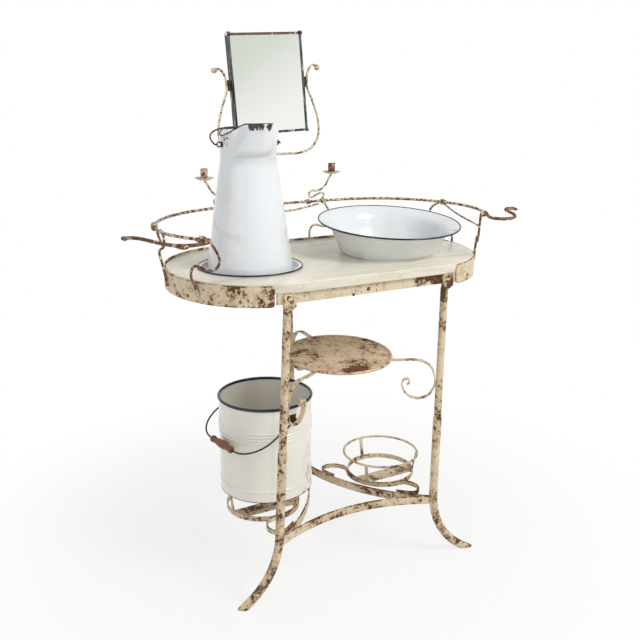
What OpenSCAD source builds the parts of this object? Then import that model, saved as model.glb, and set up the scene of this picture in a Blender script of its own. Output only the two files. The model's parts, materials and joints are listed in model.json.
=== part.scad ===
// Iron wash stand: three sabre legs, a round-ended marble top in a flat iron
// hoop, a gallery rail with towel arms and candle holders, a tilting mirror,
// a shelf, two ring holders, and enamel jug, dish, basin and pail.
// Millimetres, +Z up, +X to the right, -Y to the front, floor at z = 0.

/* [Top] */
// Height of the marble's upper face above the floor
table_h = 780; // [740:5:840]
// Length of the marble over its round ends
top_len = 788; // [740:4:860]
// Depth of the marble from front to back
top_depth = 444; // [430:2:460]
// Thickness of the marble
marble_t = 22; // [18:1:28]
// Radius of the round hole for the jug dish
dish_hole_r = 114; // [108:1:118]
// Sideways place of the jug dish
dish_x = -208; // [-220:2:-196]
// Front-to-back place of the jug dish
dish_y = -17; // [-30:1:0]
// Height of the flat iron hoop
band_h = 46; // [40:1:52]
// Thickness of the flat iron hoop
band_t = 3; // [2:0.5:5]
// How far the hoop stands above the marble
band_rise = -4; // [-5:0.5:1]
// Height of the flat bars under the marble
rail_h = 24; // [18:1:30]
// Thickness of the flat bars under the marble
rail_t = 5; // [4:0.5:8]

/* [Legs] */
// Distance between the tops of the two front legs
leg_span = 416; // [400:4:432]
// Radius of the upper leg tube
leg_up_r = 9; // [8:0.25:9.25]
// Radius of the lower leg tube
leg_low_r = 10.5; // [10:0.25:13]
// Height at which the upper tube enters the lower one
leg_joint_z = 388; // [360:4:410]
// Height of the knee, where the foot starts to bend
knee_z = 180; // [176:2:190]
// How far a front leg's tube stands behind its drilled ear
ear_offset = 10; // [0:1:12]
// How far the left knee stands outside its top
left_knee_out = 21; // [0:1:30]
// How far the right knee stands inside its top
right_knee_in = 0; // [0:1:20]
// How far the front knees stand behind their tops
front_knee_back = 6; // [0:1:30]
// How far the back knee stands in front of its top
back_knee_in = 27; // [0:1:40]
// Bend radius of the left foot
left_foot_r = 248; // [200:4:248]
// Bend radius of the right foot and the back foot
foot_bend_r = 200; // [170:5:220]
// How far the left foot points back from sideways
left_foot_swing = 17; // [0:1:20]
// How far the right foot points forward from sideways
right_foot_swing = 5; // [0:1:20]
// Bend angle of the left foot
left_foot_turn = 42; // [42:1:55]
// Bend angle of the right foot
right_foot_turn = 57; // [42:1:60]
// Bend angle of the back foot
back_foot_turn = 55; // [42:1:60]

/* [Stretchers] */
// Height of the stretcher bars
bar_h = 21; // [18:1:28]
// Thickness of the stretcher bars
bar_t = 4; // [3:0.5:6]
// Height of the middle of the stretcher bars above the floor
bar_z = 162; // [155:1:168]
// How far each stretcher bows in towards the middle
bar_bow = 58; // [45:1:64]

/* [Shelf] */
// Radius of the round shelf
shelf_r = 133; // [120:1:138]
// Height of the shelf's upper face
shelf_z = 549; // [530:1:560]
// Angle by which the shelf slopes down to the front
shelf_tilt = 3; // [0:0.5:4]
// Front-to-back place of the shelf
shelf_y = -60; // [-64:1:-52]
// Width of the scroll strips under the shelf
scroll_w = 12; // [8:1:16]
// Thickness of the scroll strips under the shelf
scroll_t = 3; // [2:0.5:4]

/* [Ring holders] */
// Where the pail's holder meets the left stretcher, as a share from the front
pail_share = 0.36; // [0.3:0.01:0.4]
// Where the right holder meets its stretcher, as a share from the front
side_share = 0.41; // [0.38:0.01:0.45]
// Gap between a holder's bow and its stretcher
holder_gap = 16; // [13:1:20]
// Radius of the lower ring
ring_low_r = 88; // [84:1:92]
// Radius of the upper ring
ring_up_r = 99; // [95:1:103]
// Height of the upper side of the upper ring
ring_up_z = 229; // [222:1:238]
// Height of the lower edge of the lower ring and the bow
ring_low_z = 166; // [160:1:170]
// Height of the flat strips of the ring holders
strip_h = 12; // [9:1:14]
// Thickness of the flat strips of the ring holders
strip_t = 3; // [2:0.5:3.5]
// Radius of the upper ring's wire
ring_wire_r = 3; // [2:0.5:4]

/* [Gallery] */
// Height of the gallery rail's middle above the marble
gallery_h = 99; // [85:1:110]
// Distance from the marble's edge out to the rail's middle
gallery_out = 20; // [16:1:26]
// Radius of the gallery rail
gallery_r = 3.5; // [3:0.5:5]
// Radius of the scroll wires
wire_r = 3; // [2.5:0.5:4]
// Radius of the towel arms
towel_r = 4; // [3:0.5:5]
// How far the rail dips towards its left end, in degrees
rail_dip = 1.5; // [0:0.1:2]
// How far the candle cups stand from the middle between them
candle_reach = 184; // [170:2:200]
// Radius of a candle cup's bore
candle_bore_r = 8; // [6:0.5:9]
// Depth of a candle cup's bore
candle_bore_h = 24; // [18:1:26]
// Radius of the drip pans
drip_r = 24; // [18:1:28]

/* [Mirror] */
// Width of the mirror frame
mirror_w = 203; // [190:1:206]
// Height of the mirror frame
mirror_h = 246; // [220:2:280]
// Depth of the mirror frame
mirror_d = 18; // [14:1:24]
// Height of the mirror's pivots above the gallery rail
pivot_h = 306; // [290:2:330]
// Angle by which the mirror leans back
mirror_tilt = 4; // [0:0.5:15]
// Angle by which the whole mirror bracket leans to the left
bracket_lean = 2.8; // [0:0.2:4]
// Radius of the mirror's pivot pins
pivot_r = 2.5; // [2:0.5:3]

/* [Enamelware] */
// Radius of the jug's base
jug_base_r = 100; // [94:1:103]
// Radius of the jug's shoulder
jug_top_r = 62; // [54:1:70]
// Height of the jug's cone
jug_cone_h = 260; // [230:5:280]
// Height of the collar over the shoulder at the back of the mouth
collar_back_h = 57; // [50:1:64]
// Height of the collar over the shoulder at the ears
collar_side_h = 45; // [40:1:50]
// Height of the collar over the shoulder at the spout
collar_front_h = 72; // [64:1:80]
// Wall of the jug, dish, basin and pail
enamel_t = 1.6; // [1.2:0.2:2.4]
// Outer radius of the basin's rim
basin_r = 178; // [165:1:182]
// Height of the basin
basin_h = 79; // [70:1:95]
// Radius of the pail
pail_r = 112; // [108:1:115]
// Height of the pail
pail_h = 238; // [215:1:245]
// How far the pail's ears are turned from front and back
pail_turn = 9; // [0:1:15]
// Length of the wooden grip
grip_len = 86; // [80:2:96]
// Radius of the wooden grip at its middle
grip_r = 10; // [8:0.5:11]

/* [Hidden] */
$fn = 64;
seat = 0.05;          // gap between pieces that rest on each other
run_gap = 0.06;       // radial running clearance of pins in bores
lie_gap = 0.3;        // gap between loose curved pieces
cut = 1;              // how far a cutting tool passes a face
join = 0.05;          // step in radius where a bent and a straight stretch merge
merge = 0.4;          // degrees by which a bend runs into its straight stretches
wire_sides = 8;
iron = "antiquewhite";
rust = "saddlebrown";
enamel = "whitesmoke";

// ---- shared places ----
end_r = top_depth / 2;
end_x = top_len / 2 - end_r;
marble_z = table_h - marble_t;
hoop_in = end_r + lie_gap;
hoop_out = hoop_in + band_t;
hoop_top = table_h + band_rise;
hoop_low = hoop_top - band_h;
rail_low = marble_z - seat - rail_h;
hoop_left_end = 252;      // degrees round the left end
hoop_right_end = 286;     // degrees round the right end
rail_y = -end_r + 14;     // back face of the front rail
ear_t = 6;
ear_y = rail_y - rail_t - seat - ear_t / 2;
leg_y = ear_y + ear_offset;
back_y = hoop_in - seat - ear_t / 2;
leg_ref_z = rail_low;     // height at which a leg's top place is given
back_leg_x = 8;

left_top = [-leg_span / 2, leg_y, leg_ref_z];
right_top = [leg_span / 2, leg_y, leg_ref_z];
back_top = [back_leg_x, back_y, leg_ref_z];
left_knee = [left_top[0] - left_knee_out, leg_y + front_knee_back, knee_z];
right_knee = [right_top[0] - right_knee_in, leg_y + front_knee_back, knee_z];
back_knee = [back_leg_x, back_y - back_knee_in, knee_z];

function along(a, b, z) = a + (b - a) * (z - a[2]) / (b[2] - a[2]);
function flat(p) = [p[0], p[1]];
function unit(v) = v / norm(v);
function heading(v) = atan2(v[1], v[0]);

left_joint = along(left_top, left_knee, bar_z);
right_joint = along(right_top, right_knee, bar_z);
back_joint = along(back_top, back_knee, bar_z);

shelf_c = [5, shelf_y];
gallery_z = table_h + gallery_h;
gallery_end_r = end_r + gallery_out;
gallery_left_end = 219;   // degrees round the left end
gallery_right_end = 321;  // degrees round the right end

// Towel arms start along the outer side of the rail's ends and run on from there
arm_z = gallery_z;
arm_r = gallery_end_r + gallery_r + towel_r + lie_gap;
function around(side, a, r) = [side * end_x, 0] + r * [cos(a), sin(a)];
right_end = around(1, gallery_right_end, arm_r);
left_end = around(-1, gallery_left_end, arm_r);
right_arm = [
  around(1, gallery_right_end + 6, arm_r), around(1, gallery_right_end + 3, arm_r),
  right_end, right_end + [-14, -20],
  right_end + [-27, -42], right_end + [-31, -63], right_end + [-20, -80],
  right_end + [7, -81], right_end + [38, -59], right_end + [60, -26],
  right_end + [76, 8], right_end + [93, 38], right_end + [111, 50],
  right_end + [122, 42], right_end + [117, 25]
];
left_arm = [
  around(-1, gallery_left_end - 6, arm_r), around(-1, gallery_left_end - 3, arm_r),
  left_end, left_end + [-3, -15],
  left_end + [-13, -27], left_end + [-30, -34], left_end + [-55, -35],
  left_end + [-77, -22], left_end + [-96, 21], left_end + [-110, 72],
  left_end + [-122, 97], left_end + [-136, 103], left_end + [-144, 90]
];
// How far the dipping left part of the rail has come down at angle a
function dip(a) = -gallery_end_r * cos(a) * sin(rail_dip);

// ---- frame ----
// The origin lies on the floor under the middle of the whole stand's extent
left_tip = min([for (q = smooth(left_arm, 3)) q[0]]) - towel_r;
right_tip = max([for (q = smooth(right_arm, 3)) q[0]]) + towel_r;
front_tip = min([for (q = smooth(right_arm, 3)) q[1]]) - towel_r;
back_lean = atan(back_knee_in / (leg_ref_z - knee_z));
tip_lean = back_foot_turn - back_lean;
tip_z = knee_z - foot_bend_r * (sin(tip_lean) + sin(back_lean));
mid_x = (left_tip + right_tip) / 2;
back_tip = back_knee[1] + foot_bend_r * (cos(back_lean) - cos(tip_lean))
  + tip_z * tan(tip_lean) + leg_low_r / cos(tip_lean);
mid_y = (front_tip + back_tip) / 2;
module placed() {
  translate([-mid_x, -mid_y, 0]) children();
}

// ---- helpers ----
// Straight round rod from point a to point b
module rod(a, b, r) {
  v = b - a;
  translate(a)
    rotate([0, acos(v[2] / norm(v)), heading(v)])
      cylinder(h = norm(v), r = r);
}

// Points of a smooth curve through the points p
function smooth_at(p, i, t) =
  let (n = len(p) - 1,
       a = p[max(i - 1, 0)], b = p[i], c = p[min(i + 1, n)], d = p[min(i + 2, n)])
  0.5 * (2 * b + (c - a) * t + (2 * a - 5 * b + 4 * c - d) * t * t
         + (3 * b - a - 3 * c + d) * t * t * t);
function smooth(p, steps) =
  concat([for (i = [0 : len(p) - 2], k = [0 : steps - 1]) smooth_at(p, i, k / steps)],
         [p[len(p) - 1]]);
function side_of(q, i) =
  let (v = unit(q[min(i + 1, len(q) - 1)] - q[max(i - 1, 0)]))
  [-v[1], v[0]];

// Round wire bent in the XY plane along a smooth curve through p
module wire(p, r, steps = 3, sides = wire_sides) {
  q = smooth(p, steps);
  n = len(q);
  points = [
    for (i = [0 : n - 1], k = [0 : sides - 1])
      let (s = side_of(q, i), a = 360 * k / sides)
      [q[i][0] + s[0] * r * cos(a), q[i][1] + s[1] * r * cos(a), r * sin(a)]
  ];
  walls = [
    for (i = [0 : n - 2], k = [0 : sides - 1], half = [0, 1])
      let (k2 = (k + 1) % sides, a = i * sides, b = a + sides)
      half == 0 ? [a + k2, a + k, b + k2] : [b + k2, a + k, b + k]
  ];
  start = [for (k = [1 : sides - 2]) [0, k, k + 1]];
  last = (n - 1) * sides;
  finish = [for (k = [1 : sides - 2]) [last, last + k + 1, last + k]];
  polyhedron(points, concat(walls, start, finish));
}

// Outline of a strip of thickness t bent along a smooth curve through p
module strip_outline(p, t, steps = 4) {
  q = smooth(p, steps);
  n = len(q);
  left = [for (i = [0 : n - 1]) q[i] + side_of(q, i) * t / 2];
  right = [for (i = [n - 1 : -1 : 0]) q[i] - side_of(q, i) * t / 2];
  polygon(concat(left, right));
}

// Round-ended outline of the top, grown by g
module top_outline(g) {
  for (side = [-1, 1])
    translate([side * end_x, 0])
      circle(r = end_r + g, $fn = 128);
  square([2 * end_x, 2 * (end_r + g)], center = true);
}

// Domed rivet head standing on the plane z = 0
module dome(r, h) {
  ball = (r * r + h * h) / (2 * h);
  intersection() {
    translate([0, 0, h - ball]) sphere(r = ball, $fn = 32);
    cylinder(h = h, r = r, $fn = 32);
  }
}

// ---- top ----
module marble_top() {
  placed() color("ivory")
  difference() {
    translate([0, 0, marble_z])
      linear_extrude(marble_t) top_outline(0);
    translate([dish_x, dish_y, marble_z - cut])
      cylinder(h = marble_t + 2 * cut, r = dish_hole_r, $fn = 128);
  }
}

module hoop() {
  placed() color(iron)
  difference() {
    translate([0, 0, hoop_low]) {
      translate([-end_x, 0, 0])
        rotate(90)
          rotate_extrude(angle = hoop_left_end - 90, $fn = 128)
            translate([hoop_in, 0]) square([band_t, band_h]);
      translate([end_x, 0, 0])
        rotate(hoop_right_end - 360)
          rotate_extrude(angle = 90 - hoop_right_end + 360, $fn = 128)
            translate([hoop_in, 0]) square([band_t, band_h]);
      translate([-end_x, hoop_in, 0]) cube([2 * end_x, band_t, band_h]);
    }
    translate([back_top[0], hoop_in - cut, ear_z])
      rotate([-90, 0, 0]) cylinder(h = band_t + 2 * cut, r = bolt_r + seat);
  }
}

hoop_rivet_places = [
  [-1, 228.5], [-1, 233.5], [-1, 200], [-1, 120], [1, 60], [1, 340], [1, 300]
];
module hoop_rivets() {
  placed() color(rust)
  for (p = hoop_rivet_places)
    translate([p[0] * end_x, 0, hoop_low + band_h * 0.27])
      rotate([0, 90, p[1]])
        translate([0, 0, hoop_out + seat])
          dome(4, 2.2);
}

rail_half = sqrt(pow(hoop_in - seat, 2) - pow(rail_y - rail_t, 2)) + end_x;
module front_rail() {
  placed() color(iron)
  difference() {
    translate([-rail_half, rail_y - rail_t, rail_low])
      cube([2 * rail_half, rail_t, rail_h]);
    for (x = [left_top[0], right_top[0]])
      translate([x, rail_y + cut, ear_z])
        rotate([90, 0, 0]) cylinder(h = rail_t + 2 * cut, r = bolt_r + seat);
  }
}

cross_h = 6;
cross_w = 30;
cross_left = dish_x + dish_hole_r + 6;
cross_right = leg_span / 2 - 90;
module cross_bars() {
  placed() color(rust)
  for (x = [cross_left, cross_right])
    translate([x, rail_y + seat, marble_z - seat - cross_h])
      cube([cross_w, hoop_in - seat - rail_y - seat, cross_h]);
}

module back_strap() {
  placed() color(rust)
  translate([cross_left, back_y - ear_t / 2 - rail_t - seat, marble_z - 2 * seat - cross_h - 16])
    cube([cross_right + cross_w - cross_left, rail_t, 16]);
}

// ---- legs ----
ear_z = rail_low + rail_h * 0.55;
neck_z = min(rail_low, hoop_low) - 2.5;   // where a leg's tube turns into its flat ear
tube_top_z = neck_z - 7.55;
bolt_r = 4;
ear_half = 15;
socket_h = 30;
socket_gap = 0.1;

// Upper tube of a leg: flat drilled ear, drawn into the round tube
module leg_tube(top, knee, set_back) {
  y = top[1] - set_back;
  head = along(top, knee, tube_top_z);
  foot = along(top, knee, leg_joint_z - socket_h + seat);
  placed() color(iron)
  difference() {
    union() {
      rod(foot, head, leg_up_r);
      hull() {
        translate([top[0] - ear_half, y - ear_t / 2, neck_z])
          cube([2 * ear_half, ear_t, 1]);
        translate(head - [0, 0, 3])
          cylinder(h = 3, r = leg_up_r - 0.2, $fn = 32);
      }
      translate([top[0] - ear_half, y - ear_t / 2, neck_z])
        cube([2 * ear_half, ear_t, ear_z - neck_z]);
      translate([top[0], y + ear_t / 2, ear_z])
        rotate([90, 0, 0])
          intersection() {
            cylinder(h = ear_t, r = ear_half);
            translate([-ear_half, 0, 0])
              cube([2 * ear_half, marble_z - seat - ear_z, ear_t]);
          }
    }
    translate([top[0], y + ear_t, ear_z])
      rotate([90, 0, 0])
        cylinder(h = 2 * ear_t, r = bolt_r + seat);
  }
}

module leg_bolt(x, y, out, grip) {
  translate([x, y, ear_z])
    rotate([out < 0 ? 90 : -90, 0, 0]) {
      dome(8, 4);
      translate([0, 0, -grip]) cylinder(h = grip, r = bolt_r);
    }
}

module leg_bolts() {
  placed() color(rust) {
    leg_bolt(left_top[0], ear_y - ear_t / 2 - seat, -1, ear_t + rail_t);
    leg_bolt(right_top[0], ear_y - ear_t / 2 - seat, -1, ear_t + rail_t);
    leg_bolt(back_top[0], hoop_in + band_t + seat, 1, ear_t + band_t);
  }
}

// Lower tube of a leg: socket, knee and sabre foot cut flat on the floor
module leg_foot(top, knee, bend, turn, out_dir) {
  v = top - knee;
  lean = acos(v[2] / norm(v));
  swing = heading(v);
  length = norm(along(top, knee, leg_joint_z) - knee);
  placed() color(iron)
  difference() {
    translate(knee)
      rotate([0, lean, swing])
        rotate(out_dir - swing) {
          cylinder(h = length, r = leg_low_r);
          translate([bend, 0, 0])
            rotate([90, 180, 0])
              rotate(-merge)
                rotate_extrude(angle = turn + 2 * merge, $fn = 96)
                  translate([bend, 0]) circle(r = leg_low_r - join, $fn = 32);
          translate([bend * (1 - cos(turn)), 0, -bend * sin(turn)])
            rotate([0, 180 - turn, 0])
              cylinder(h = bend, r = leg_low_r);
        }
    rod(along(top, knee, leg_joint_z - socket_h),
        along(top, knee, leg_joint_z + 2 * cut), leg_up_r + socket_gap);
    translate([0, 0, -3 * bend])
      cube(6 * bend, center = true);
  }
}

// ---- stretchers ----
// Circle that runs through a and b and bows to the left of a-b by bow
function bow_radius(a, b, bow) =
  let (half = norm(b - a) / 2) (half * half + bow * bow) / (2 * bow);
function bow_side(a, b) = let (u = unit(b - a)) [-u[1], u[0]];
function bow_centre(a, b, bow) =
  (a + b) / 2 + bow_side(a, b) * (bow - bow_radius(a, b, bow));
function bow_point(a, b, bow, s) =
  let (c = bow_centre(a, b, bow), r = bow_radius(a, b, bow),
       a0 = heading(a - c), h = asin(norm(b - a) / 2 / r))
  c + r * [cos(a0 - 2 * h * s), sin(a0 - 2 * h * s)];

module stretcher(a, b) {
  c = bow_centre(a, b, bar_bow);
  r = bow_radius(a, b, bar_bow);
  h = asin(norm(b - a) / 2 / r);
  translate([c[0], c[1], bar_z - bar_h / 2])
    rotate(heading(b - c))
      rotate_extrude(angle = 2 * h, $fn = 256)
        translate([r - bar_t - seat / 2, 0]) square([bar_t, bar_h]);
}

module leg_clear(top, knee) {
  rod(along(top, knee, bar_z - bar_h), along(top, knee, bar_z + bar_h), leg_low_r + seat);
}

module front_stretcher() {
  placed() color(iron)
  difference() {
    stretcher(flat(left_joint), flat(right_joint));
    leg_clear(left_top, left_knee);
    leg_clear(right_top, right_knee);
  }
}

module left_stretcher() {
  placed() color(iron)
  difference() {
    stretcher(flat(back_joint), flat(left_joint));
    leg_clear(left_top, left_knee);
    leg_clear(back_top, back_knee);
  }
}

module right_stretcher() {
  placed() color(iron)
  difference() {
    stretcher(flat(right_joint), flat(back_joint));
    leg_clear(right_top, right_knee);
    leg_clear(back_top, back_knee);
  }
}

// A rivet head on the outer face of a stretcher, at the share s of its length
module bar_rivet(a, b, s) {
  c = bow_centre(a, b, bar_bow);
  p = bow_point(a, b, bar_bow, s);
  translate([p[0], p[1], bar_z])
    rotate([90, 0, heading(c - p) + 90])
      translate([0, 0, bar_t + 2 * seat])
        dome(4.5, 2.4);
}

module stretcher_rivets() {
  ends = [0.07, 0.93];
  placed() color(rust)
  for (s = ends) {
    bar_rivet(flat(left_joint), flat(right_joint), s);
    bar_rivet(flat(back_joint), flat(left_joint), s);
    bar_rivet(flat(right_joint), flat(back_joint), s);
  }
}

// ---- shelf ----
shelf_t = 1.5;
shelf_rim = 3.5;
module shelf() {
  placed() color("wheat")
  translate([shelf_c[0], shelf_c[1], shelf_z])
    rotate([shelf_tilt, 0, 0])
    rotate_extrude($fn = 128) {
      translate([0, -shelf_rim - shelf_t]) square([shelf_r - shelf_rim, shelf_t]);
      difference() {
        translate([shelf_r - shelf_rim, -shelf_rim]) circle(r = shelf_rim, $fn = 32);
        translate([shelf_r - shelf_rim, -shelf_rim]) circle(r = shelf_rim - shelf_t, $fn = 32);
      }
    }
}

// Scroll strip from under the shelf out to a leg and curled below
module shelf_scroll(top, knee) {
  touch_z = shelf_z - 62;
  leg = along(top, knee, touch_z);
  v = flat(leg) - shelf_c;
  reach = norm(v) - leg_up_r - seat - scroll_t / 2 - 1.1;
  start = shelf_r - 45;
  slope = tan(shelf_tilt) * v[1] / norm(v);
  drop = (2 * shelf_rim + seat + scroll_t / 2) / cos(shelf_tilt)
    + scroll_w / 2 * tan(shelf_tilt);
  under = shelf_z - shelf_rim - shelf_t - seat - scroll_t / 2;
  p = [
    [start, shelf_z - drop + slope * start],
    [shelf_r - 10, shelf_z - drop + slope * (shelf_r - 10)],
    [shelf_r + 16, shelf_z - drop + slope * (shelf_r + 16)],
    [reach - 52, under + slope * shelf_r], [reach - 24, under - 8 + slope * shelf_r / 2],
    [reach - 7, under - 26], [reach, under - 52], [reach - 1, under - 72],
    [reach - 14, under - 94], [reach - 38, under - 104], [reach - 65, under - 96],
    [reach - 79, under - 74], [reach - 76, under - 58], [reach - 65, under - 55],
    [reach - 61, under - 64], [reach - 67, under - 69]
  ];
  placed() color(iron)
  translate([shelf_c[0], shelf_c[1], 0])
    rotate([90, 0, heading(v)])
      translate([0, 0, -scroll_w / 2])
        linear_extrude(scroll_w) strip_outline(p, scroll_t);
}

// ---- ring holders ----
// A holder hangs off the outer face of its stretcher, which runs from a to b;
// places are given as millimetres along the stretcher from the share s and
// millimetres out from its outer face
function beside(a, b, s, along_mm, out) =
  let (r = bow_radius(a, b, bar_bow), c = bow_centre(a, b, bar_bow),
       turn = 2 * asin(norm(b - a) / 2 / r),
       p = bow_point(a, b, bar_bow, s + along_mm / (r * turn * PI / 180)))
  p + unit(c - p) * (bar_t + seat / 2 + out);
hug_r = ring_low_r + strip_t + seat;
holder_out = holder_gap + strip_t / 2 + hug_r;

// Upper wire ring, lower strip ring, uprights and rest plate, centred on z
module holder_rings(upright_angles) {
  wire_z = ring_up_z - ring_wire_r;
  inner = ring_low_r - strip_t / 2;
  upright_in = 1.6;
  reach = ring_up_r - ring_wire_r - inner + upright_in - 0.4;
  lift = wire_z - ring_low_z;
  translate([0, 0, wire_z])
    rotate_extrude($fn = 96)
      translate([ring_up_r, 0]) circle(r = ring_wire_r, $fn = 24);
  translate([0, 0, ring_low_z])
    rotate_extrude($fn = 96)
      translate([inner, 0]) square([strip_t, strip_h]);
  for (a = upright_angles)
    rotate(a)
      translate([inner - upright_in, 0, ring_low_z])
        rotate([0, atan2(reach, lift), 0])
          translate([-strip_t / 2, -4, 0])
            cube([strip_t, 8, norm([reach, lift])]);
  intersection() {
    translate([-2 * ring_low_r, -ring_low_r * 0.5, ring_low_z + 1])
      cube([4 * ring_low_r, 42, 2.5]);
    cylinder(h = table_h, r = inner + 0.5);
  }
}

// Flat strip that loops out from a stretcher at both ends and hugs the ring
module holder_bow(a, b, s, turn_dir) {
  c = beside(a, b, s, 0, holder_out);
  base = heading(beside(a, b, s, 0, 0) - c);
  loop = [
    [92, 0], [115, 0.5], [135, 2], [147, 11], [150, 28], [141, 45], [122, 56],
    [101, 58]
  ];
  near = [for (q = loop) beside(a, b, s, -q[0], q[1] + strip_t / 2 + seat)];
  far = [
    for (i = [len(loop) - 1 : -1 : 0])
      beside(a, b, s, loop[i][0], loop[i][1] + strip_t / 2 + seat)
  ];
  hug = [
    for (k = [-48 : 8 : 48])
      c + (hug_r + 0.07 * max(0, abs(k) - 40))
        * [cos(base + turn_dir * k), sin(base + turn_dir * k)]
  ];
  translate([0, 0, ring_low_z])
    linear_extrude(strip_h) strip_outline(concat(near, hug, far), strip_t);
}

left_run = [flat(left_joint), flat(back_joint)];
right_run = [flat(right_joint), flat(back_joint)];
side_c = beside(right_run[0], right_run[1], side_share, 0, holder_out);
pail_ring_c = mirrored(beside(mirrored(left_run[0]), mirrored(left_run[1]), pail_share, 0,
                              holder_out));
function mirrored(p) = [-p[0], p[1]];

module side_holder_bow() {
  placed() color(iron) holder_bow(right_run[0], right_run[1], side_share, -1);
}

module pail_holder_bow() {
  placed() color(iron)
  mirror([1, 0, 0])
    holder_bow(mirrored(left_run[0]), mirrored(left_run[1]), pail_share, -1);
}

module side_holder_rings() {
  placed() color(iron)
  translate([side_c[0], side_c[1], 0]) holder_rings([92, 214, 326]);
}

module pail_holder_rings() {
  placed() color(iron)
  translate([pail_ring_c[0], pail_ring_c[1], 0]) holder_rings([70, 190, 307]);
}

// ---- gallery ----
module gallery_rail() {
  placed() color(iron)
  translate([0, 0, gallery_z]) {
    translate([-end_x, 0, 0])
      rotate([0, -rail_dip, 0])
        rotate(90)
          rotate_extrude(angle = gallery_left_end - 90, $fn = 128)
            translate([gallery_end_r, 0]) circle(r = gallery_r, $fn = 24);
    translate([end_x, 0, 0])
      rotate(gallery_right_end - 360)
        rotate_extrude(angle = 90 - gallery_right_end + 360, $fn = 128)
          translate([gallery_end_r, 0]) circle(r = gallery_r, $fn = 24);
    translate([-end_x, gallery_end_r, 0])
      rotate([90, 0, 90])
        translate([0, 0, -cut])
          cylinder(h = 2 * (end_x + cut), r = gallery_r - join, $fn = 24);
  }
}

module left_towel_arm() {
  placed() color("sienna")
  translate([0, 0, arm_z - dip(gallery_left_end)]) wire(left_arm, towel_r);
}

module right_towel_arm() {
  placed() color("sienna") translate([0, 0, arm_z]) wire(right_arm, towel_r);
}

// Place of a scroll: hung from the rail at angle a round an end, low by drop,
// leaning in so that its foot, foot_u to the side, lies on the hoop
scroll_drop = gallery_z - hoop_low - band_h * 0.55;
scroll_in = gallery_out - gallery_r - wire_r - seat;
module on_hoop(x, a, low = 0, foot_u = 0) {
  inset = hoop_out - sqrt(hoop_out * hoop_out - foot_u * foot_u);
  lean = atan2(scroll_in - (hoop_out - end_r) - wire_r - seat + inset, scroll_drop);
  translate([x, 0, gallery_z - low])
    rotate(a)
      translate([end_r + scroll_in, 0, 0])
        rotate([0, lean, 0])
          rotate([90, 0, 90])
            children();
}

// S scroll of the gallery, from the rail down to the hoop
scroll_k = scroll_drop / 112;
module s_scroll() {
  wire([
    [0, 0], [14, -20 * scroll_k], [28, -42 * scroll_k], [23, -56 * scroll_k],
    [3, -63 * scroll_k], [-18, -58 * scroll_k], [-34, -58 * scroll_k],
    [-45, -72 * scroll_k], [-44, -94 * scroll_k], [-38, -113 * scroll_k]
  ], wire_r);
}

module front_scrolls() {
  k = scroll_k;
  left = [
    [0, 0], [14, -20 * k], [22, -35 * k], [20, -47 * k], [7, -60 * k], [-13, -60 * k],
    [-28, -56 * k], [-39, -55 * k], [-48, -64 * k], [-50, -79 * k], [-43, -97 * k],
    [-38, -113 * k]
  ];
  placed() color(rust) {
    on_hoop(-end_x, gallery_left_end - 1, dip(gallery_left_end - 1), 38) wire(left, wire_r);
    on_hoop(end_x, gallery_right_end + 1, 0, 38) mirror([1, 0, 0]) s_scroll();
  }
}

module end_scrolls() {
  k = scroll_k;
  left = [
    [0, 0], [14, -6], [24, -14 * k], [12, -32 * k], [-15, -41 * k], [-32, -49 * k],
    [-29, -59 * k], [-17, -71 * k], [0, -92 * k], [10, -113 * k]
  ];
  left_stay = [[-32, -8], [-16, -21 * k], [10, -32 * k]];
  right = [
    [0, 0], [12, -6 * k], [24, -14 * k], [30, -26 * k], [26, -44 * k], [10, -56 * k],
    [-12, -57 * k], [-32, -54 * k], [-46, -63 * k], [-51, -83 * k], [-50, -113 * k]
  ];
  placed() color(rust) {
    on_hoop(-end_x, 176, dip(176)) {
      wire(left, wire_r);
      wire(left_stay, wire_r);
    }
    on_hoop(end_x, 18, 0, 50) wire(right, wire_r);
  }
}

module back_scrolls() {
  placed() color(rust) {
    on_hoop(125, 90) mirror([1, 0, 0]) s_scroll();
    on_hoop(-125, 90) s_scroll();
  }
}

// Wire that hangs in a shallow curve under the rail between two points
module swag(a, b, drop) {
  v = b - a;
  w = norm(v);
  under = gallery_z - gallery_r - wire_r - seat;
  translate([a[0], a[1], under])
    rotate([90, 0, heading(v)])
      wire([[0, 0], [w * 0.14, -drop * 0.45], [w * 0.34, -drop * 0.92],
            [w * 0.5, -drop], [w * 0.66, -drop * 0.92], [w * 0.86, -drop * 0.45], [w, 0]],
           wire_r - 0.5);
}

// Thin wire from under the rail's right end down to the right front scroll
module right_stay() {
  r = wire_r - 0.8;
  a = around(1, 15, gallery_end_r);
  b = around(1, gallery_right_end - 2.3, end_r + scroll_in - 1.2);
  w = norm(b - a);
  translate([a[0], a[1], gallery_z - gallery_r - r - seat])
    rotate([90, 0, heading(b - a)])
      wire([[0, 0], [w * 0.25, -10], [w * 0.55, -17], [w * 0.8, -21], [w, -24]], r);
}

module swags() {
  rail = gallery_end_r - 4;
  placed() color(iron) {
    swag([-112, rail], [112, rail], 14);
    right_stay();
  }
}

// ---- candle holders ----
candle_mid_x = -30;
candle_y = gallery_end_r;
cup_z = gallery_z + 70;
cup_wall = 1.2;
candle_out = candle_reach - 28;
module candle_arm() {
  p = [
    [0, gallery_r + wire_r + seat], [4, 18], [-4, 22], [-19, 17], [-32, 11], [-40, 15],
    [-41, 23], [-33, 29], [-21, 28], [-5, 31], [10, 43], [19, 58], [24, 66], [28, 69]
  ];
  translate([candle_out, candle_y, gallery_z])
    rotate([90, 0, 0])
      wire(p, wire_r - 0.3);
}

module right_candle_arm() {
  placed() color(rust)
  translate([candle_mid_x, 0, 0]) candle_arm();
}

module left_candle_arm() {
  placed() color(rust)
  translate([candle_mid_x, 0, 0]) mirror([1, 0, 0]) candle_arm();
}

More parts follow.
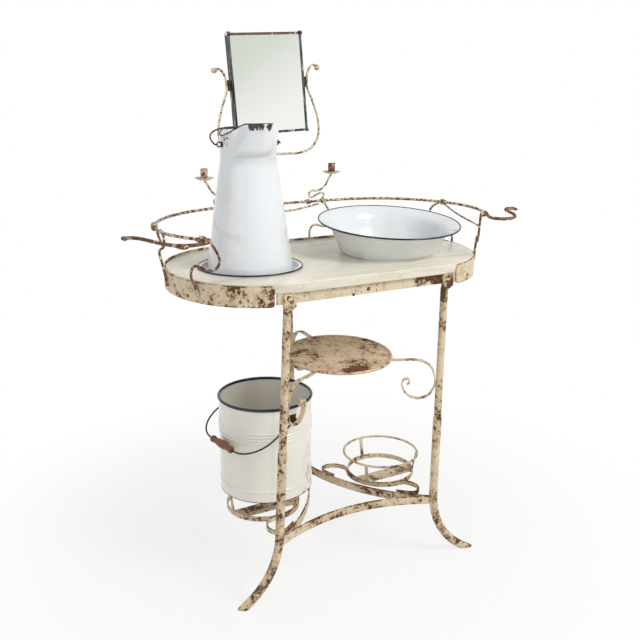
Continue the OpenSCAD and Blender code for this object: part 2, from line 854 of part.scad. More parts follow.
module at_cups() {
  for (side = [-1, 1])
    translate([candle_mid_x + side * candle_reach, candle_y, cup_z + 2])
      children();
}

module drip_pans() {
  placed() color(iron)
  at_cups()
    rotate_extrude($fn = 64)
      polygon([
        [0, 0], [drip_r * 0.55, 0], [drip_r, 5], [drip_r, 6.2], [drip_r * 0.53, 1.4], [0, 1.4]
      ]);
}

module candle_cups() {
  base = 2.5;
  placed() color(rust)
  at_cups()
    translate([0, 0, 1.4 + seat])
      difference() {
        cylinder(h = candle_bore_h + base, r = candle_bore_r + cup_wall);
        translate([0, 0, base]) cylinder(h = candle_bore_h + cut, r = candle_bore_r);
      }
}

// ---- mirror ----
bracket_x = -20;
pivot_u = mirror_w / 2 + 2;      // inner face of each pivot block
block_t = 6;
arm_u = pivot_u + block_t + seat + wire_r;
// Frame of the bracket: origin on the rail, leaning to the left
module in_bracket() {
  translate([bracket_x, gallery_end_r, gallery_z])
    rotate([0, -bracket_lean, 0])
      children();
}

module mirror_bracket() {
  h = pivot_h;
  half = [
    [0, h - 176], [22, h - 177], [50, h - 179], [86, h - 179], [118, h - 169], [138, h - 145],
    [143, h - 116], [139, h - 86], [126, h - 46], [arm_u + 1, h - 16], [arm_u, h],
    [arm_u + 2, h + 20], [arm_u + 12, h + 37], [arm_u + 23, h + 41], [arm_u + 31, h + 36]
  ];
  all = concat([for (i = [len(half) - 1 : -1 : 1]) [-half[i][0], half[i][1]]], half);
  placed() color(iron)
  in_bracket() {
    rotate([90, 0, 0]) wire(all, wire_r);
    translate([0, 0, gallery_r + seat])
      cylinder(h = h - 176 - gallery_r, r = wire_r + 1);
    for (side = [-1, 1])
      translate([side * (arm_u + 31), 0, h + 36]) sphere(r = 6, $fn = 32);
  }
}

module pivot_blocks() {
  placed() color(rust)
  in_bracket()
    for (side = [-1, 1])
      translate([side * (pivot_u + block_t / 2), 0, pivot_h])
        difference() {
          cube([block_t, 10, 26], center = true);
          rotate([0, 90, 0])
            cylinder(h = block_t + 2 * cut, r = pivot_r + run_gap, center = true);
        }
}

module in_mirror() {
  in_bracket()
    translate([0, 0, pivot_h])
      rotate([-mirror_tilt, 0, 0])
        children();
}

frame_wall = 1.5;
frame_lip = 6;
glass_t = 3;
module mirror_frame() {
  placed() color("dimgray")
  in_mirror()
    difference() {
      cube([mirror_w, mirror_d, mirror_h], center = true);
      translate([0, frame_wall, 0])
        cube([mirror_w - 2 * frame_wall, mirror_d, mirror_h - 2 * frame_wall], center = true);
      cube([mirror_w - 2 * frame_lip, 2 * mirror_d, mirror_h - 2 * frame_lip], center = true);
    }
}

module mirror_glass() {
  placed() color("lightgray")
  in_mirror()
    translate([0, -mirror_d / 2 + frame_wall + seat + glass_t / 2, 0])
      cube([mirror_w - 2 * frame_wall - 2 * seat, glass_t, mirror_h - 2 * frame_wall - 2 * seat],
           center = true);
}

module mirror_back() {
  back_t = mirror_d - frame_wall - glass_t - 2 * seat;
  placed() color("peru")
  in_mirror()
    translate([0, mirror_d / 2 - back_t / 2, 0])
      cube([mirror_w - 2 * frame_wall - 2 * seat, back_t, mirror_h - 2 * frame_wall - 2 * seat],
           center = true);
}

module mirror_pins() {
  placed() color(rust)
  in_mirror()
    for (side = [0, 180])
      rotate([0, 0, side])
        translate([mirror_w / 2 + seat, 0, 0])
          rotate([0, 90, 0])
            cylinder(h = pivot_u + block_t - 1 - mirror_w / 2, r = pivot_r);
}

// ---- enamelware ----
dish_rim_r = dish_hole_r + 7.5;
dish_depth = 13;
module jug_dish() {
  t = enamel_t;
  rim = 1.8;
  side_r = dish_hole_r - 1;
  placed() color(enamel)
  translate([dish_x, dish_y, table_h])
    rotate_extrude($fn = 128) {
      polygon([
        [0, -dish_depth], [side_r - 6, -dish_depth], [side_r - 0.5, -dish_depth + 6],
        [side_r - 0.5, seat + 0.2], [dish_rim_r, seat + 0.2], [dish_rim_r, seat + 0.2 + t],
        [side_r - t - 0.5, seat + 0.2 + t], [side_r - t - 0.5, -dish_depth + 6.6],
        [side_r - 6.6, -dish_depth + t], [0, -dish_depth + t]
      ]);
      translate([dish_rim_r, seat + rim]) circle(r = rim, $fn = 24);
    }
}

jug_z = table_h - dish_depth + enamel_t + seat;
shoulder_z = jug_z + jug_cone_h;
module jug() {
  t = enamel_t;
  top = collar_front_h + 10;
  placed() color(enamel)
  translate([dish_x, dish_y, jug_z])
    difference() {
      union() {
        rotate_extrude($fn = 128)
          polygon([
            [0, 0], [jug_base_r - 3, 0], [jug_base_r, 3], [jug_top_r + 1, jug_cone_h],
            [jug_top_r, jug_cone_h + 2], [jug_top_r, jug_cone_h + top],
            [0, jug_cone_h + top]
          ]);
        translate([0, 0, jug_cone_h])
          spout(top, t, 0);
      }
      rotate_extrude($fn = 128)
        polygon([
          [0, t], [jug_base_r - 3 - t, t], [jug_base_r - t, 3 + t],
          [jug_top_r + 1 - t, jug_cone_h], [jug_top_r - t, jug_cone_h + 2],
          [jug_top_r - t, jug_cone_h + top + cut], [0, jug_cone_h + top + cut]
        ]);
      translate([0, 0, jug_cone_h])
        spout(top + cut, t, t);
      translate([-2 * jug_top_r, 0, jug_cone_h])
        rotate([90, 0, 90])
          linear_extrude(4 * jug_top_r) over_mouth();
    }
}

// Side view of the space over the jug's mouth, which dips between the ears
module over_mouth() {
  r = jug_top_r;
  top = collar_front_h;
  side = collar_side_h;
  polygon([
    [2 * r, 3 * r], [2 * r, collar_back_h], [0.75 * r, collar_back_h],
    [0.35 * r, side + 0.55 * (collar_back_h - side)], [0.1 * r, side],
    [-0.1 * r, side], [-0.35 * r, side + 0.22 * (top - side)],
    [-0.62 * r, side + 0.6 * (top - side)], [-0.88 * r, side + 0.92 * (top - side)],
    [-1.05 * r, top], [-3 * r, top + 4], [-3 * r, 3 * r]
  ]);
}

// Flared half of the collar that makes the pouring lip, drawn in by w
module spout(h, t, w) {
  lip_r = jug_top_r * 0.62;
  intersection() {
    translate([0, -jug_top_r * 0.58, 0])
      rotate([12, 0, 0])
        translate([0, 0, 14])
          cylinder(h = h, r1 = lip_r * 0.75 - w, r2 = lip_r - w);
    translate([0, -jug_top_r, h / 2 + 16])
      cube([3 * jug_top_r, 2.2 * jug_top_r, h - 32 + w], center = true);
  }
}

jug_ear_z = shoulder_z + 27;
jug_ear_u = jug_top_r + 13;
jug_bail_r = 1.8;
jug_ear_t = 3;
module jug_ears() {
  placed() color(rust)
  translate([dish_x, dish_y, jug_ear_z])
    for (side = [0, 180])
      rotate(side)
        difference() {
          union() {
            translate([jug_ear_u - jug_ear_t / 2, 0, 0])
              rotate([0, 90, 0]) cylinder(h = jug_ear_t, r = 6, $fn = 32);
            translate([jug_top_r - 3, -5, -1.5])
              cube([jug_ear_u - jug_top_r + 3, 10, 3]);
            translate([jug_top_r - 3, -7, -9])
              cube([4.2, 14, 18]);
          }
          translate([jug_ear_u - jug_ear_t, 0, 0])
            rotate([0, 90, 0]) cylinder(h = 3 * jug_ear_t, r = jug_bail_r + run_gap);
          translate([0, 0, -20]) cylinder(h = 60, r = jug_top_r + seat, $fn = 128);
        }
}

jug_bail_lie = 70;        // degrees back from upright
module jug_bail() {
  u = jug_ear_u + jug_ear_t / 2 + jug_bail_r + 0.6;
  arm = 14;
  placed() color("dimgray")
  translate([dish_x, dish_y, jug_ear_z])
    rotate([-jug_bail_lie, 0, 0]) {
      for (side = [0, 180])
        rotate(side) {
          translate([u, 0, 0]) cylinder(h = arm, r = jug_bail_r, $fn = 24);
          translate([u, 0, 0]) sphere(r = jug_bail_r, $fn = 24);
          translate([jug_ear_u - jug_ear_t / 2 - 1, 0, 0])
            rotate([0, 90, 0])
              cylinder(h = u - jug_ear_u + jug_ear_t / 2 + 1, r = jug_bail_r, $fn = 24);
        }
      translate([0, 0, arm])
        rotate([90, 0, 0])
          rotate_extrude(angle = 180, $fn = 96)
            translate([u, 0]) circle(r = jug_bail_r, $fn = 24);
    }
}

basin_x = 166;
basin_y = -27;
basin_lean = 5;           // degrees by which the rim is out of level
basin_foot_r = 122;
basin_body_r = 146;
// Half outline of the basin's wall, drawn in by w, from the bottom to the rim
function basin_wall(w) = [
  [0, -basin_h - 20], [basin_foot_r - 9 - w, -basin_h - 20], [basin_foot_r - w, -basin_h + 6],
  [basin_foot_r + 11 - w, -basin_h * 0.62], [basin_body_r - 2 - w, -21],
  [basin_body_r + 2 - w * 0.5, -17 + w * 0.8], [basin_r - 2.2, -2.6 + w]
];
module basin() {
  t = enamel_t;
  rim = 2.2;
  big = 4 * basin_r;
  placed() color(enamel)
  translate([basin_x, basin_y, table_h + seat])
    difference() {
      translate([0, 0, basin_h])
        rotate([basin_lean, 0, 0])
          rotate_extrude($fn = 128)
            union() {
              polygon(concat(basin_wall(0), [[0, -2.6]]));
              translate([basin_r - rim, -rim]) circle(r = rim, $fn = 24);
            }
      intersection() {
        translate([0, 0, basin_h])
          rotate([basin_lean, 0, 0])
            rotate_extrude($fn = 128)
              polygon(concat(basin_wall(t), [[basin_r - 2.2, 10], [0, 10]]));
        translate([-big / 2, -big / 2, t]) cube(big);
      }
      translate([0, 0, -50]) cube([big, big, 100], center = true);
    }
}

pail_x = pail_ring_c[0] + 7;
pail_y = pail_ring_c[1] - 9;
pail_z = ring_up_z + seat;
pail_rim = 4.5;
pail_ear_z = pail_z + pail_h - 33;
module pail() {
  t = enamel_t;
  r = pail_r;
  bead = 1.5;
  bead_heights = [28, 151, 159, 167, 175];
  placed() color(enamel)
  translate([pail_x, pail_y, pail_z])
    rotate_extrude($fn = 128)
      union() {
        translate([r - t, 0]) square([t, pail_h - pail_rim]);
        translate([0, 8]) square([r - t / 2, t]);
        translate([r - pail_rim / 2 + 1, pail_h - pail_rim]) circle(r = pail_rim, $fn = 32);
        for (z = bead_heights)
          translate([r - 0.4, z]) circle(r = bead, $fn = 16);
      }
}

pail_bail_r = 2;
pail_ear_u = pail_r + 7;
pail_ear_t = 3;
module pail_ears() {
  placed() color(rust)
  translate([pail_x, pail_y, pail_ear_z])
    for (side = [90, 270])
      rotate(side + pail_turn)
        difference() {
          union() {
            translate([pail_ear_u - pail_ear_t / 2, 0, 0])
              rotate([0, 90, 0]) cylinder(h = pail_ear_t, r = 7, $fn = 32);
            translate([pail_r - 3, -6, -1.5])
              cube([pail_ear_u - pail_r + 3, 12, 3]);
            translate([pail_r - 3, -9, -12])
              cube([4.4, 18, 24]);
          }
          translate([pail_ear_u - pail_ear_t / 2 - 2, 0, 0])
            rotate([0, 90, 0]) cylinder(h = 3 * pail_ear_t, r = pail_bail_r + run_gap);
          translate([0, 0, -20]) cylinder(h = 60, r = pail_r + seat, $fn = 128);
        }
}

bail_hang = 29;           // degrees below level at which the bail hangs
bail_len = 142;
bail_corner = 72;
bail_u = pail_ear_u + pail_ear_t / 2 + pail_bail_r + 0.6;
module in_pail_bail() {
  translate([pail_x, pail_y, pail_ear_z])
    rotate([0, -90 - bail_hang, pail_turn])
      children();
}

module pail_bail() {
  placed() color("dimgray")
  in_pail_bail() {
    for (side = [0, 180])
      rotate(side) {
        translate([0, bail_u, 0])
          cylinder(h = bail_len - bail_corner, r = pail_bail_r, $fn = 24);
        translate([0, bail_u, 0]) sphere(r = pail_bail_r, $fn = 24);
        translate([0, pail_ear_u - pail_ear_t / 2 - 1, 0])
          rotate([-90, 0, 0])
            cylinder(h = bail_u - pail_ear_u + pail_ear_t / 2 + 1, r = pail_bail_r, $fn = 24);
        translate([0, bail_u - bail_corner, bail_len - bail_corner])
          rotate([90, 0, 90])
            rotate_extrude(angle = 90, $fn = 64)
              translate([bail_corner, 0]) circle(r = pail_bail_r, $fn = 24);
      }
    translate([0, -bail_u + bail_corner, bail_len])
      rotate([-90, 0, 0])
        cylinder(h = 2 * (bail_u - bail_corner), r = pail_bail_r, $fn = 24);
  }
}

module pail_grip() {
  bore = pail_bail_r + run_gap;
  half_len = grip_len / 2;
  half = [
    [0.62, half_len], [0.8, half_len - 3], [0.8, half_len - 8], [0.6, half_len - 11],
    [0.74, half_len - 15], [0.92, half_len * 0.45], [1, half_len * 0.12]
  ];
  placed() color("burlywood")
  in_pail_bail()
    translate([0, 0, bail_len])
      rotate([90, 0, 0])
        difference() {
          rotate_extrude($fn = 48)
            polygon(concat(
              [[0, -half_len]],
              [for (q = half) [q[0] * grip_r, -q[1]]],
              [for (i = [len(half) - 1 : -1 : 0]) [half[i][0] * grip_r, half[i][1]]],
              [[0, half_len]]
            ));
          cylinder(h = grip_len + 2 * cut, r = bore, center = true);
        }
}

marble_top();
hoop();
hoop_rivets();
front_rail();
cross_bars();
back_strap();
leg_tube(left_top, left_knee, ear_offset);  // left_leg_tube
leg_tube(right_top, right_knee, ear_offset);  // right_leg_tube
leg_tube(back_top, back_knee, 0);  // back_leg_tube
leg_foot(left_top, left_knee, left_foot_r, left_foot_turn, 180 - left_foot_swing);  // left_foot
leg_foot(right_top, right_knee, foot_bend_r, right_foot_turn, -right_foot_swing);  // right_foot
leg_foot(back_top, back_knee, foot_bend_r, back_foot_turn, 90);  // back_foot
leg_bolts();
front_stretcher();
left_stretcher();
right_stretcher();
stretcher_rivets();
shelf();
shelf_scroll(left_top, left_knee);  // left_shelf_scroll
shelf_scroll(right_top, right_knee);  // right_shelf_scroll
shelf_scroll(back_top, back_knee);  // back_shelf_scroll
pail_holder_rings();
pail_holder_bow();
side_holder_rings();
side_holder_bow();
gallery_rail();
left_towel_arm();
right_towel_arm();
front_scrolls();
end_scrolls();
back_scrolls();
swags();
left_candle_arm();
right_candle_arm();
drip_pans();
candle_cups();
mirror_bracket();
pivot_blocks();
mirror_frame();
mirror_glass();
mirror_back();
mirror_pins();
jug_dish();
jug();
jug_ears();
jug_bail();
basin();
pail();
pail_ears();
pail_bail();
pail_grip();
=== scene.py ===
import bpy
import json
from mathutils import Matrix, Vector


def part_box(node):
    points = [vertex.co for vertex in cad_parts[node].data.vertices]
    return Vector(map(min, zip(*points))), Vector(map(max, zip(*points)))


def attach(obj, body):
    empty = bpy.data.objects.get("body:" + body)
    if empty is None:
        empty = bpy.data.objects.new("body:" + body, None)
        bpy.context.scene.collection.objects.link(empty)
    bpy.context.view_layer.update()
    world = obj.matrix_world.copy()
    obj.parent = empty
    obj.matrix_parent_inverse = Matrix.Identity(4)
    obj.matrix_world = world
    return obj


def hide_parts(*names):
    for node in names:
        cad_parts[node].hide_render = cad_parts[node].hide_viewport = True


bl_info = {
    "name": "Iron Washstand",
    "version": (1, 0, 0),
    "blender": (4, 5, 0),
    "location": "3D View > Sidebar > Washstand",
    "description": "Finishes an old iron washstand over its fixed frame",
    "category": "Object",
}

import json
import math

import bmesh
import bpy
from mathutils import Matrix, Vector

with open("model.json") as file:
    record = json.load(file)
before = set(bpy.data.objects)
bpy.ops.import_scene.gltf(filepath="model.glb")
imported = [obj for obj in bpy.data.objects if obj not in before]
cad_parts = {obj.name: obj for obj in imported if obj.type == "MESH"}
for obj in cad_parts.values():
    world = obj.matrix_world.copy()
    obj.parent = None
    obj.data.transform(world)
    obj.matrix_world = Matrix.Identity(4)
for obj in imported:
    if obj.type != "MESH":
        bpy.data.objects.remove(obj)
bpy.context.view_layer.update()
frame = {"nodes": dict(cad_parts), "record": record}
MM = 0.001
# Edge heights, in metres, for a piece that isn't a strip, so that no edge wear reaches it.
BELOW_ALL = -1
ABOVE_ALL = 9
WHITE = (1, 1, 1, 1)
# Settings that many shader nodes share: a soft step and a mix of colours.
SMOOTH = {"interpolation_type": "SMOOTHSTEP"}
RGBA = {"data_type": "RGBA"}
# In millimetres: the marble's top, and the gallery rail, whose round ends follow two circles.
TABLE_Z = 780
RAIL_Z = 879
RAIL_RADIUS = 242
RAIL_LEFT = (-161, -29.1)
RAIL_RIGHT = (183, -29.1)
# The jug's collar, in millimetres: where it starts over the jug's foot, how tall it is before it
# is beaten to shape, and how high its mouth stands at angles from the spout, in degrees.
SHOULDER = 261
COLLAR = 72
MOUTH = ((0, 72), (28, 71), (38, 67), (50, 60), (66, 51.5), (90, 44.5), (115, 50), (140, 57),
         (180, 57))
# How far the pail's bail is turned from the stand's long side, in degrees.
PAIL_TURN = 9
# The heights at which the bails turn, in metres.
JUG_EAR_Z = sum(c.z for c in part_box("jug_ears")) / 2
PAIL_EAR_Z = sum(c.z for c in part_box("pail_ears")) / 2


def linear(hex_colour):
    """An sRGB hex colour as the linear RGBA that a shader takes."""
    parts = [int(hex_colour[i:i + 2], 16) / 255 for i in (1, 3, 5)]
    return tuple(c / 12.92 if c <= 0.04045 else ((c + 0.055) / 1.055) ** 2.4
                 for c in parts) + (1.0,)


def colour(name, hex_colour, words):
    return bpy.props.FloatVectorProperty(name=name, description=words, subtype="COLOR", size=4,
                                         min=0, max=1, default=linear(hex_colour))


def length(name, default, words):
    return bpy.props.FloatProperty(name=name, description=words, default=default * MM,
                                   min=0, unit="LENGTH", subtype="DISTANCE")


class WashstandColours(bpy.types.PropertyGroup):
    paint: colour("Paint", "#e0d1b3", "Old oil paint on the iron")
    paint_dirty: colour("Dirty paint", "#b08a5c", "Paint stained by the rust beside it")
    rust: colour("Rust", "#80502f", "Rust where the paint is gone")
    rust_dark: colour("Dark rust", "#2e2019", "Older rust in pits and joints")
    marble: colour("Marble", "#e4ddca", "The polished slab")
    marble_vein: colour("Marble vein", "#c1b7a1", "Soft streaks along the slab")
    enamel: colour("Enamel", "#eaeef2", "White enamel of the jug, dish and basin")
    pail_enamel: colour("Pail enamel", "#eeebe2", "Warmer white enamel of the pail")
    rim: colour("Rim enamel", "#0e1433", "Dark blue enamel of the rims")
    shelf: colour("Shelf paint", "#dac5aa", "Worn pinkish paint of the shelf")
    tin: colour("Tin", "#565656", "Dull dark tin of the mirror frame")
    wood: colour("Grip wood", "#9a5f3c", "Stained beech of the pail's grip")
    wire: colour("Wire", "#2b2521", "Dark iron wire of bails and coils")
    board: colour("Board", "#8c6a45", "Bare board behind the mirror")
    paint_pale: colour("Pale paint", "#ddcfb0", "Cleaner paint of the front rail and candles")
    rust_bloom: colour("Rust bloom", "#a8744a", "Lighter bloom on rust in a chip")
    iron_bloom: colour("Iron bloom", "#8f6f4e", "Lighter bloom on iron that is bare all over")
    wire_bloom: colour("Wire bloom", "#5d4636", "Faint brown bloom on the dark wire")
    marble_cloud: colour("Marble cloud", "#efebdf", "Paler clouds in the slab")
    marble_thread: colour("Marble thread", "#a39a88", "Thin dark threads in the slab")
    enamel_aged: colour("Aged enamel", "#dcd8c8", "Where the enamel has yellowed")
    chip_halo: colour("Chip halo", "#a8825a", "Stain in the enamel round a chip")
    chip_iron: colour("Chip iron", "#2a1d17", "Steel laid bare in a chip")
    silver: colour("Silvering", "#f3f5f0", "Clear silvering of the mirror")
    # Painted shade: the mirror's glass is mixed toward this darker grey toward its upper left.
    silver_painted_shade: colour("Silvering haze", "#d3d8ce", "Aged silvering of the mirror")
    tin_dark: colour("Dark tin", "#191a19", "Tarnished streaks of the mirror frame")
    tin_rubbed: colour("Rubbed tin", "#d3d5d2", "Bright rubbed lines of the mirror frame")
    tin_rust: colour("Tin rust", "#6a4a36", "Rust on the frame's top rail")
    floor: colour("Floor", "#f4f3f0", "The plain pale floor")


class WashstandSizes(bpy.types.PropertyGroup):
    strip_edge: length("Edge of flat iron", 0.5, "Rounding of the rolled iron's edges")
    marble_edge: length("Edge of the marble", 2.5, "Rounding of the slab's ground edge")
    bead: length("Pail bead", 1.5, "Radius of the beads pressed into the pail")
    jug_lip: length("Jug lip", 1.5, "Radius of the rolled edge of the jug's mouth")
    coil_wire: length("Coil wire", 1.5, "Radius of the wire wound into the ears")
    tie_wire: length("Tie wire", 1.9, "Radius of the wire that ties the gallery's joints")
    chip: length("Paint chip", 9, "Typical size of a chip in the paint")
    pit_spacing: length("Pit spacing", 8, "Typical distance between pits in sound paint")
    edge_wear: length("Edge wear", 2.6, "How far the wear reaches in from a strip's edge")


def sizes():
    return bpy.context.scene.washstand_sizes


def colours():
    return bpy.context.scene.washstand_colours


# ---------------------------------------------------------------- mesh helpers

def piece(name, bm, material, body, node=None, smooth=40):
    """Makes a bmesh a finished piece that rides on a body and may stand for a CAD node."""
    mesh = bpy.data.meshes.new(name)
    bm.to_mesh(mesh)
    bm.free()
    mesh.materials.append(material)
    obj = bpy.data.objects.new(name, mesh)
    bpy.context.scene.collection.objects.link(obj)
    mesh.shade_smooth()
    if smooth:
        mesh.set_sharp_from_angle(angle=math.radians(smooth))
    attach(obj, body)
    if node:
        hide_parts(node)
        slot_of(node)
    return obj


def body_of(node):
    for body, members in frame["record"]["behaviour"]["bodies"].items():
        if node in members:
            return body
    raise ValueError(f"no body holds {node}")


def slot_of(node):
    for part in frame["record"]["subparts"]:
        if part["node"] == node:
            return part["material_slot"]
    raise ValueError(f"no slot for {node}")


def axis_point(node, height):
    """The point at a height in metres on the upright axis through a node's middle."""
    lo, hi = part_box(node)
    return Vector(((lo.x + hi.x) / 2, (lo.y + hi.y) / 2, height))


def from_node(node):
    """A merged copy of a CAD node's mesh with its flat faces whole again."""
    bm = bmesh.new()
    bm.from_mesh(frame["nodes"][node].data)
    bmesh.ops.remove_doubles(bm, verts=bm.verts, dist=2e-6)
    bmesh.ops.dissolve_limit(bm, angle_limit=math.radians(1), verts=bm.verts, edges=bm.edges,
                             use_dissolve_boundaries=False)
    return bm


def slice_mesh(bm, axis, step):
    """Cuts a mesh across an axis every step, so that wear can vary along it."""
    lo = min(v.co[axis] for v in bm.verts)
    hi = max(v.co[axis] for v in bm.verts)
    normal = Vector((0, 0, 0))
    normal[axis] = 1
    place = lo + step
    while place < hi - step * 0.3:
        bmesh.ops.bisect_plane(bm, geom=bm.verts[:] + bm.edges[:] + bm.faces[:],
                               plane_co=normal * place, plane_no=normal, dist=1e-6)
        place += step


def smoothstep(lo, hi, value):
    t = min(1, max(0, (value - lo) / (hi - lo)))
    return t * t * (3 - 2 * t)


def wear(bm, low, high, bare):
    """Stores what the paint needs: a strip's lower and upper edge and how bare the iron is."""
    layer = bm.verts.layers.float_vector.new("wear")
    for v in bm.verts:
        v[layer] = (low, high, bare(v.co) if callable(bare) else bare)


def near(spots, base=0.0):
    """Bareness that rises to an amount within a radius of each spot, all in millimetres."""
    def bare(co):
        value = base
        for x, y, z, radius, amount in spots:
            away = (co - Vector((x, y, z)) * MM).length
            value += amount * (1 - smoothstep(radius * 0.4 * MM, radius * MM, away))
        return value
    return bare


def round_edges(obj, width):
    """Rounds the sharp edges of a piece, as rolled iron has them."""
    bevel = obj.modifiers.new("Rounded edges", "BEVEL")
    bevel.width = width
    bevel.segments = 2
    bevel.limit_method = "ANGLE"
    bevel.angle_limit = math.radians(35)
    bevel.harden_normals = True


def iron(node, material, bare=0.0, edge=None, strip=False, slices=None, across=None):
    """A CAD node's own shape in old painted iron, with rounded edges and wear."""
    bm = from_node(node)
    for cuts in (slices, across):
        if cuts:
            slice_mesh(bm, *cuts)
    lo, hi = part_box(node)
    wear(bm, lo.z if strip else BELOW_ALL, hi.z if strip else ABOVE_ALL, bare)
    obj = piece("iron_" + node, bm, material, body_of(node), node)
    if edge:
        round_edges(obj, edge)


def lathe(profile, centre, steps=128, shift=None):
    """A closed outline of (radius, height) in millimetres turned round an upright axis."""
    bm = bmesh.new()
    ring = [bm.verts.new((r * MM, 0, z * MM)) for r, z in profile]
    for a, b in zip(ring, ring[1:] + ring[:1]):
        if (a.co - b.co).length > 1e-9 and not (a.co.x < 1e-9 and b.co.x < 1e-9):
            bm.edges.new((a, b))
    bmesh.ops.spin(bm, geom=bm.verts[:] + bm.edges[:], cent=(0, 0, 0), axis=(0, 0, 1),
                   dvec=(0, 0, 0), angle=math.tau, steps=steps, use_merge=True,
                   use_normal_flip=False, use_duplicate=False)
    bmesh.ops.remove_doubles(bm, verts=bm.verts, dist=1e-6)
    bmesh.ops.recalc_face_normals(bm, faces=bm.faces)
    if shift:
        for v in bm.verts:
            shift(v)
    bmesh.ops.translate(bm, verts=bm.verts, vec=centre)
    return bm


def arc(cx, cz, r, a0, a1, count):
    """Points of an arc in an outline, angles in degrees."""
    return [(cx + r * math.cos(math.radians(a0 + (a1 - a0) * i / count)),
             cz + r * math.sin(math.radians(a0 + (a1 - a0) * i / count)))
            for i in range(count + 1)]


def rolled(radius, height, thick, centre, count=12, steps=128, shift=None):
    """A rolled edge: a round section, its middle and radius in millimetres, as a ring."""
    return lathe(arc(radius, height, thick, 0, 360, count)[:-1], centre, steps, shift)


def wire_mesh(points, radius, closed=False, smooth=True):
    """A round wire along points in metres, as a bmesh."""
    data = bpy.data.curves.new("wire", "CURVE")
    data.dimensions = "3D"
    data.bevel_depth = radius
    data.bevel_resolution = 3
    data.use_fill_caps = not closed
    spline = data.splines.new("NURBS" if smooth else "POLY")
    spline.points.add(len(points) - 1)
    for point, place in zip(spline.points, points):
        point.co = (*place, 1)
    spline.use_cyclic_u = closed
    if smooth:
        spline.order_u = 4
        spline.resolution_u = 4
        spline.use_endpoint_u = not closed
    holder = bpy.data.objects.new("wire", data)
    bpy.context.scene.collection.objects.link(holder)
    depsgraph = bpy.context.evaluated_depsgraph_get()
    mesh = bpy.data.meshes.new_from_object(holder.evaluated_get(depsgraph))
    bm = bmesh.new()
    bm.from_mesh(mesh)
    bpy.data.objects.remove(holder)
    bpy.data.curves.remove(data)
    bpy.data.meshes.remove(mesh)
    bmesh.ops.remove_doubles(bm, verts=bm.verts, dist=1e-6)
    bmesh.ops.recalc_face_normals(bm, faces=bm.faces)
    return bm


def joined(meshes):
    """Several bmeshes as one."""
    whole = meshes[0]
    for other in meshes[1:]:
        mesh = bpy.data.meshes.new("part")
        other.to_mesh(mesh)
        other.free()
        whole.from_mesh(mesh)
        bpy.data.meshes.remove(mesh)
    return whole


def coil(centre, axis, radius, turns, pitch, wire_radius):
    """A wound coil of wire, centred in metres along an axis."""
    axis = Vector(axis).normalized()
    u = axis.orthogonal().normalized()
    v = axis.cross(u)
    points = []
    for i in range(int(turns * 12) + 1):
        a = math.tau * i / 12
        points.append(Vector(centre) + axis * pitch * (i / 12 - turns / 2)
                      + radius * (u * math.cos(a) + v * math.sin(a)))
    return wire_mesh(points, wire_radius, smooth=False)


def lump(bm, place, *radii):
    """Adds a round lump to a bmesh, laid by place, with its three radii in millimetres."""
    grown = Matrix.Diagonal([radius * MM for radius in radii] + [1])
    bmesh.ops.create_icosphere(bm, subdivisions=3, radius=1, matrix=place @ grown)


def at_mm(x, y, z):
    return Matrix.Translation(Vector((x, y, z)) * MM)


def ear_plate(place, size, rounding):
    """A small plate that carries an ear, laid by place, its size in millimetres."""
    bm = bmesh.new()
    bmesh.ops.create_cube(bm, size=1)
    grown = Matrix.Diagonal([side * MM for side in size] + [1])
    for v in bm.verts:
        v.co = place @ grown @ v.co
    bmesh.ops.bevel(bm, geom=bm.edges[:], offset=rounding * MM, segments=2, profile=0.5,
                    affect="EDGES", material=-1)
    return bm


# ------------------------------------------------------------------- finishes

def emptied(tree):
    """Empties a node tree, and gives the function that adds one node to it."""
    def node(kind, inputs=None, **settings):
        """A socket takes a value, a socket, or a node, whose first live output is taken."""
        new = tree.nodes.new("ShaderNode" + kind)
        for key, value in settings.items():
            setattr(new, key, value)
        for key, value in (inputs or {}).items():
            if isinstance(value, bpy.types.Node):
                value = next(socket for socket in value.outputs if socket.enabled)
            if isinstance(value, bpy.types.NodeSocket):
                tree.links.new(value, new.inputs[key])
            else:
                new.inputs[key].default_value = value
        return new

    tree.nodes.clear()
    return node


def new_material(name):
    """An empty material, what adds nodes to it, and the place on the object."""
    material = bpy.data.materials.new(name)
    material.use_nodes = True
    node = emptied(material.node_tree)
    return material, node, node("TexCoord").outputs["Object"]


def finish(node, tone, rough, height=None, depth_mm=0.0, strength=1.0, **more):
    """Ends a material with its shader, and a relief of a depth where a height is given."""
    inputs = {"Base Color": tone, "Roughness": rough, **more}
    if height:
        inputs["Normal"] = node("Bump", {"Height": height, "Distance": depth_mm * MM,
                                         "Strength": strength})
    node("OutputMaterial", {"Surface": node("BsdfPrincipled", inputs)})


def cloudy(place, size_mm, detail=3, rough=0.55, warp=0.0):
    """What a noise takes for lumps about size_mm across."""
    return {"Vector": place, "Scale": 1000 / size_mm, "Detail": detail, "Roughness": rough,
            "Distortion": warp}


def wear_parts(node):
    """What wear() stored: a strip's lower edge, its upper edge and how bare the iron is."""
    worn = node("Attribute", attribute_name="wear").outputs["Vector"]
    return node("SeparateXYZ", {0: worn}).outputs


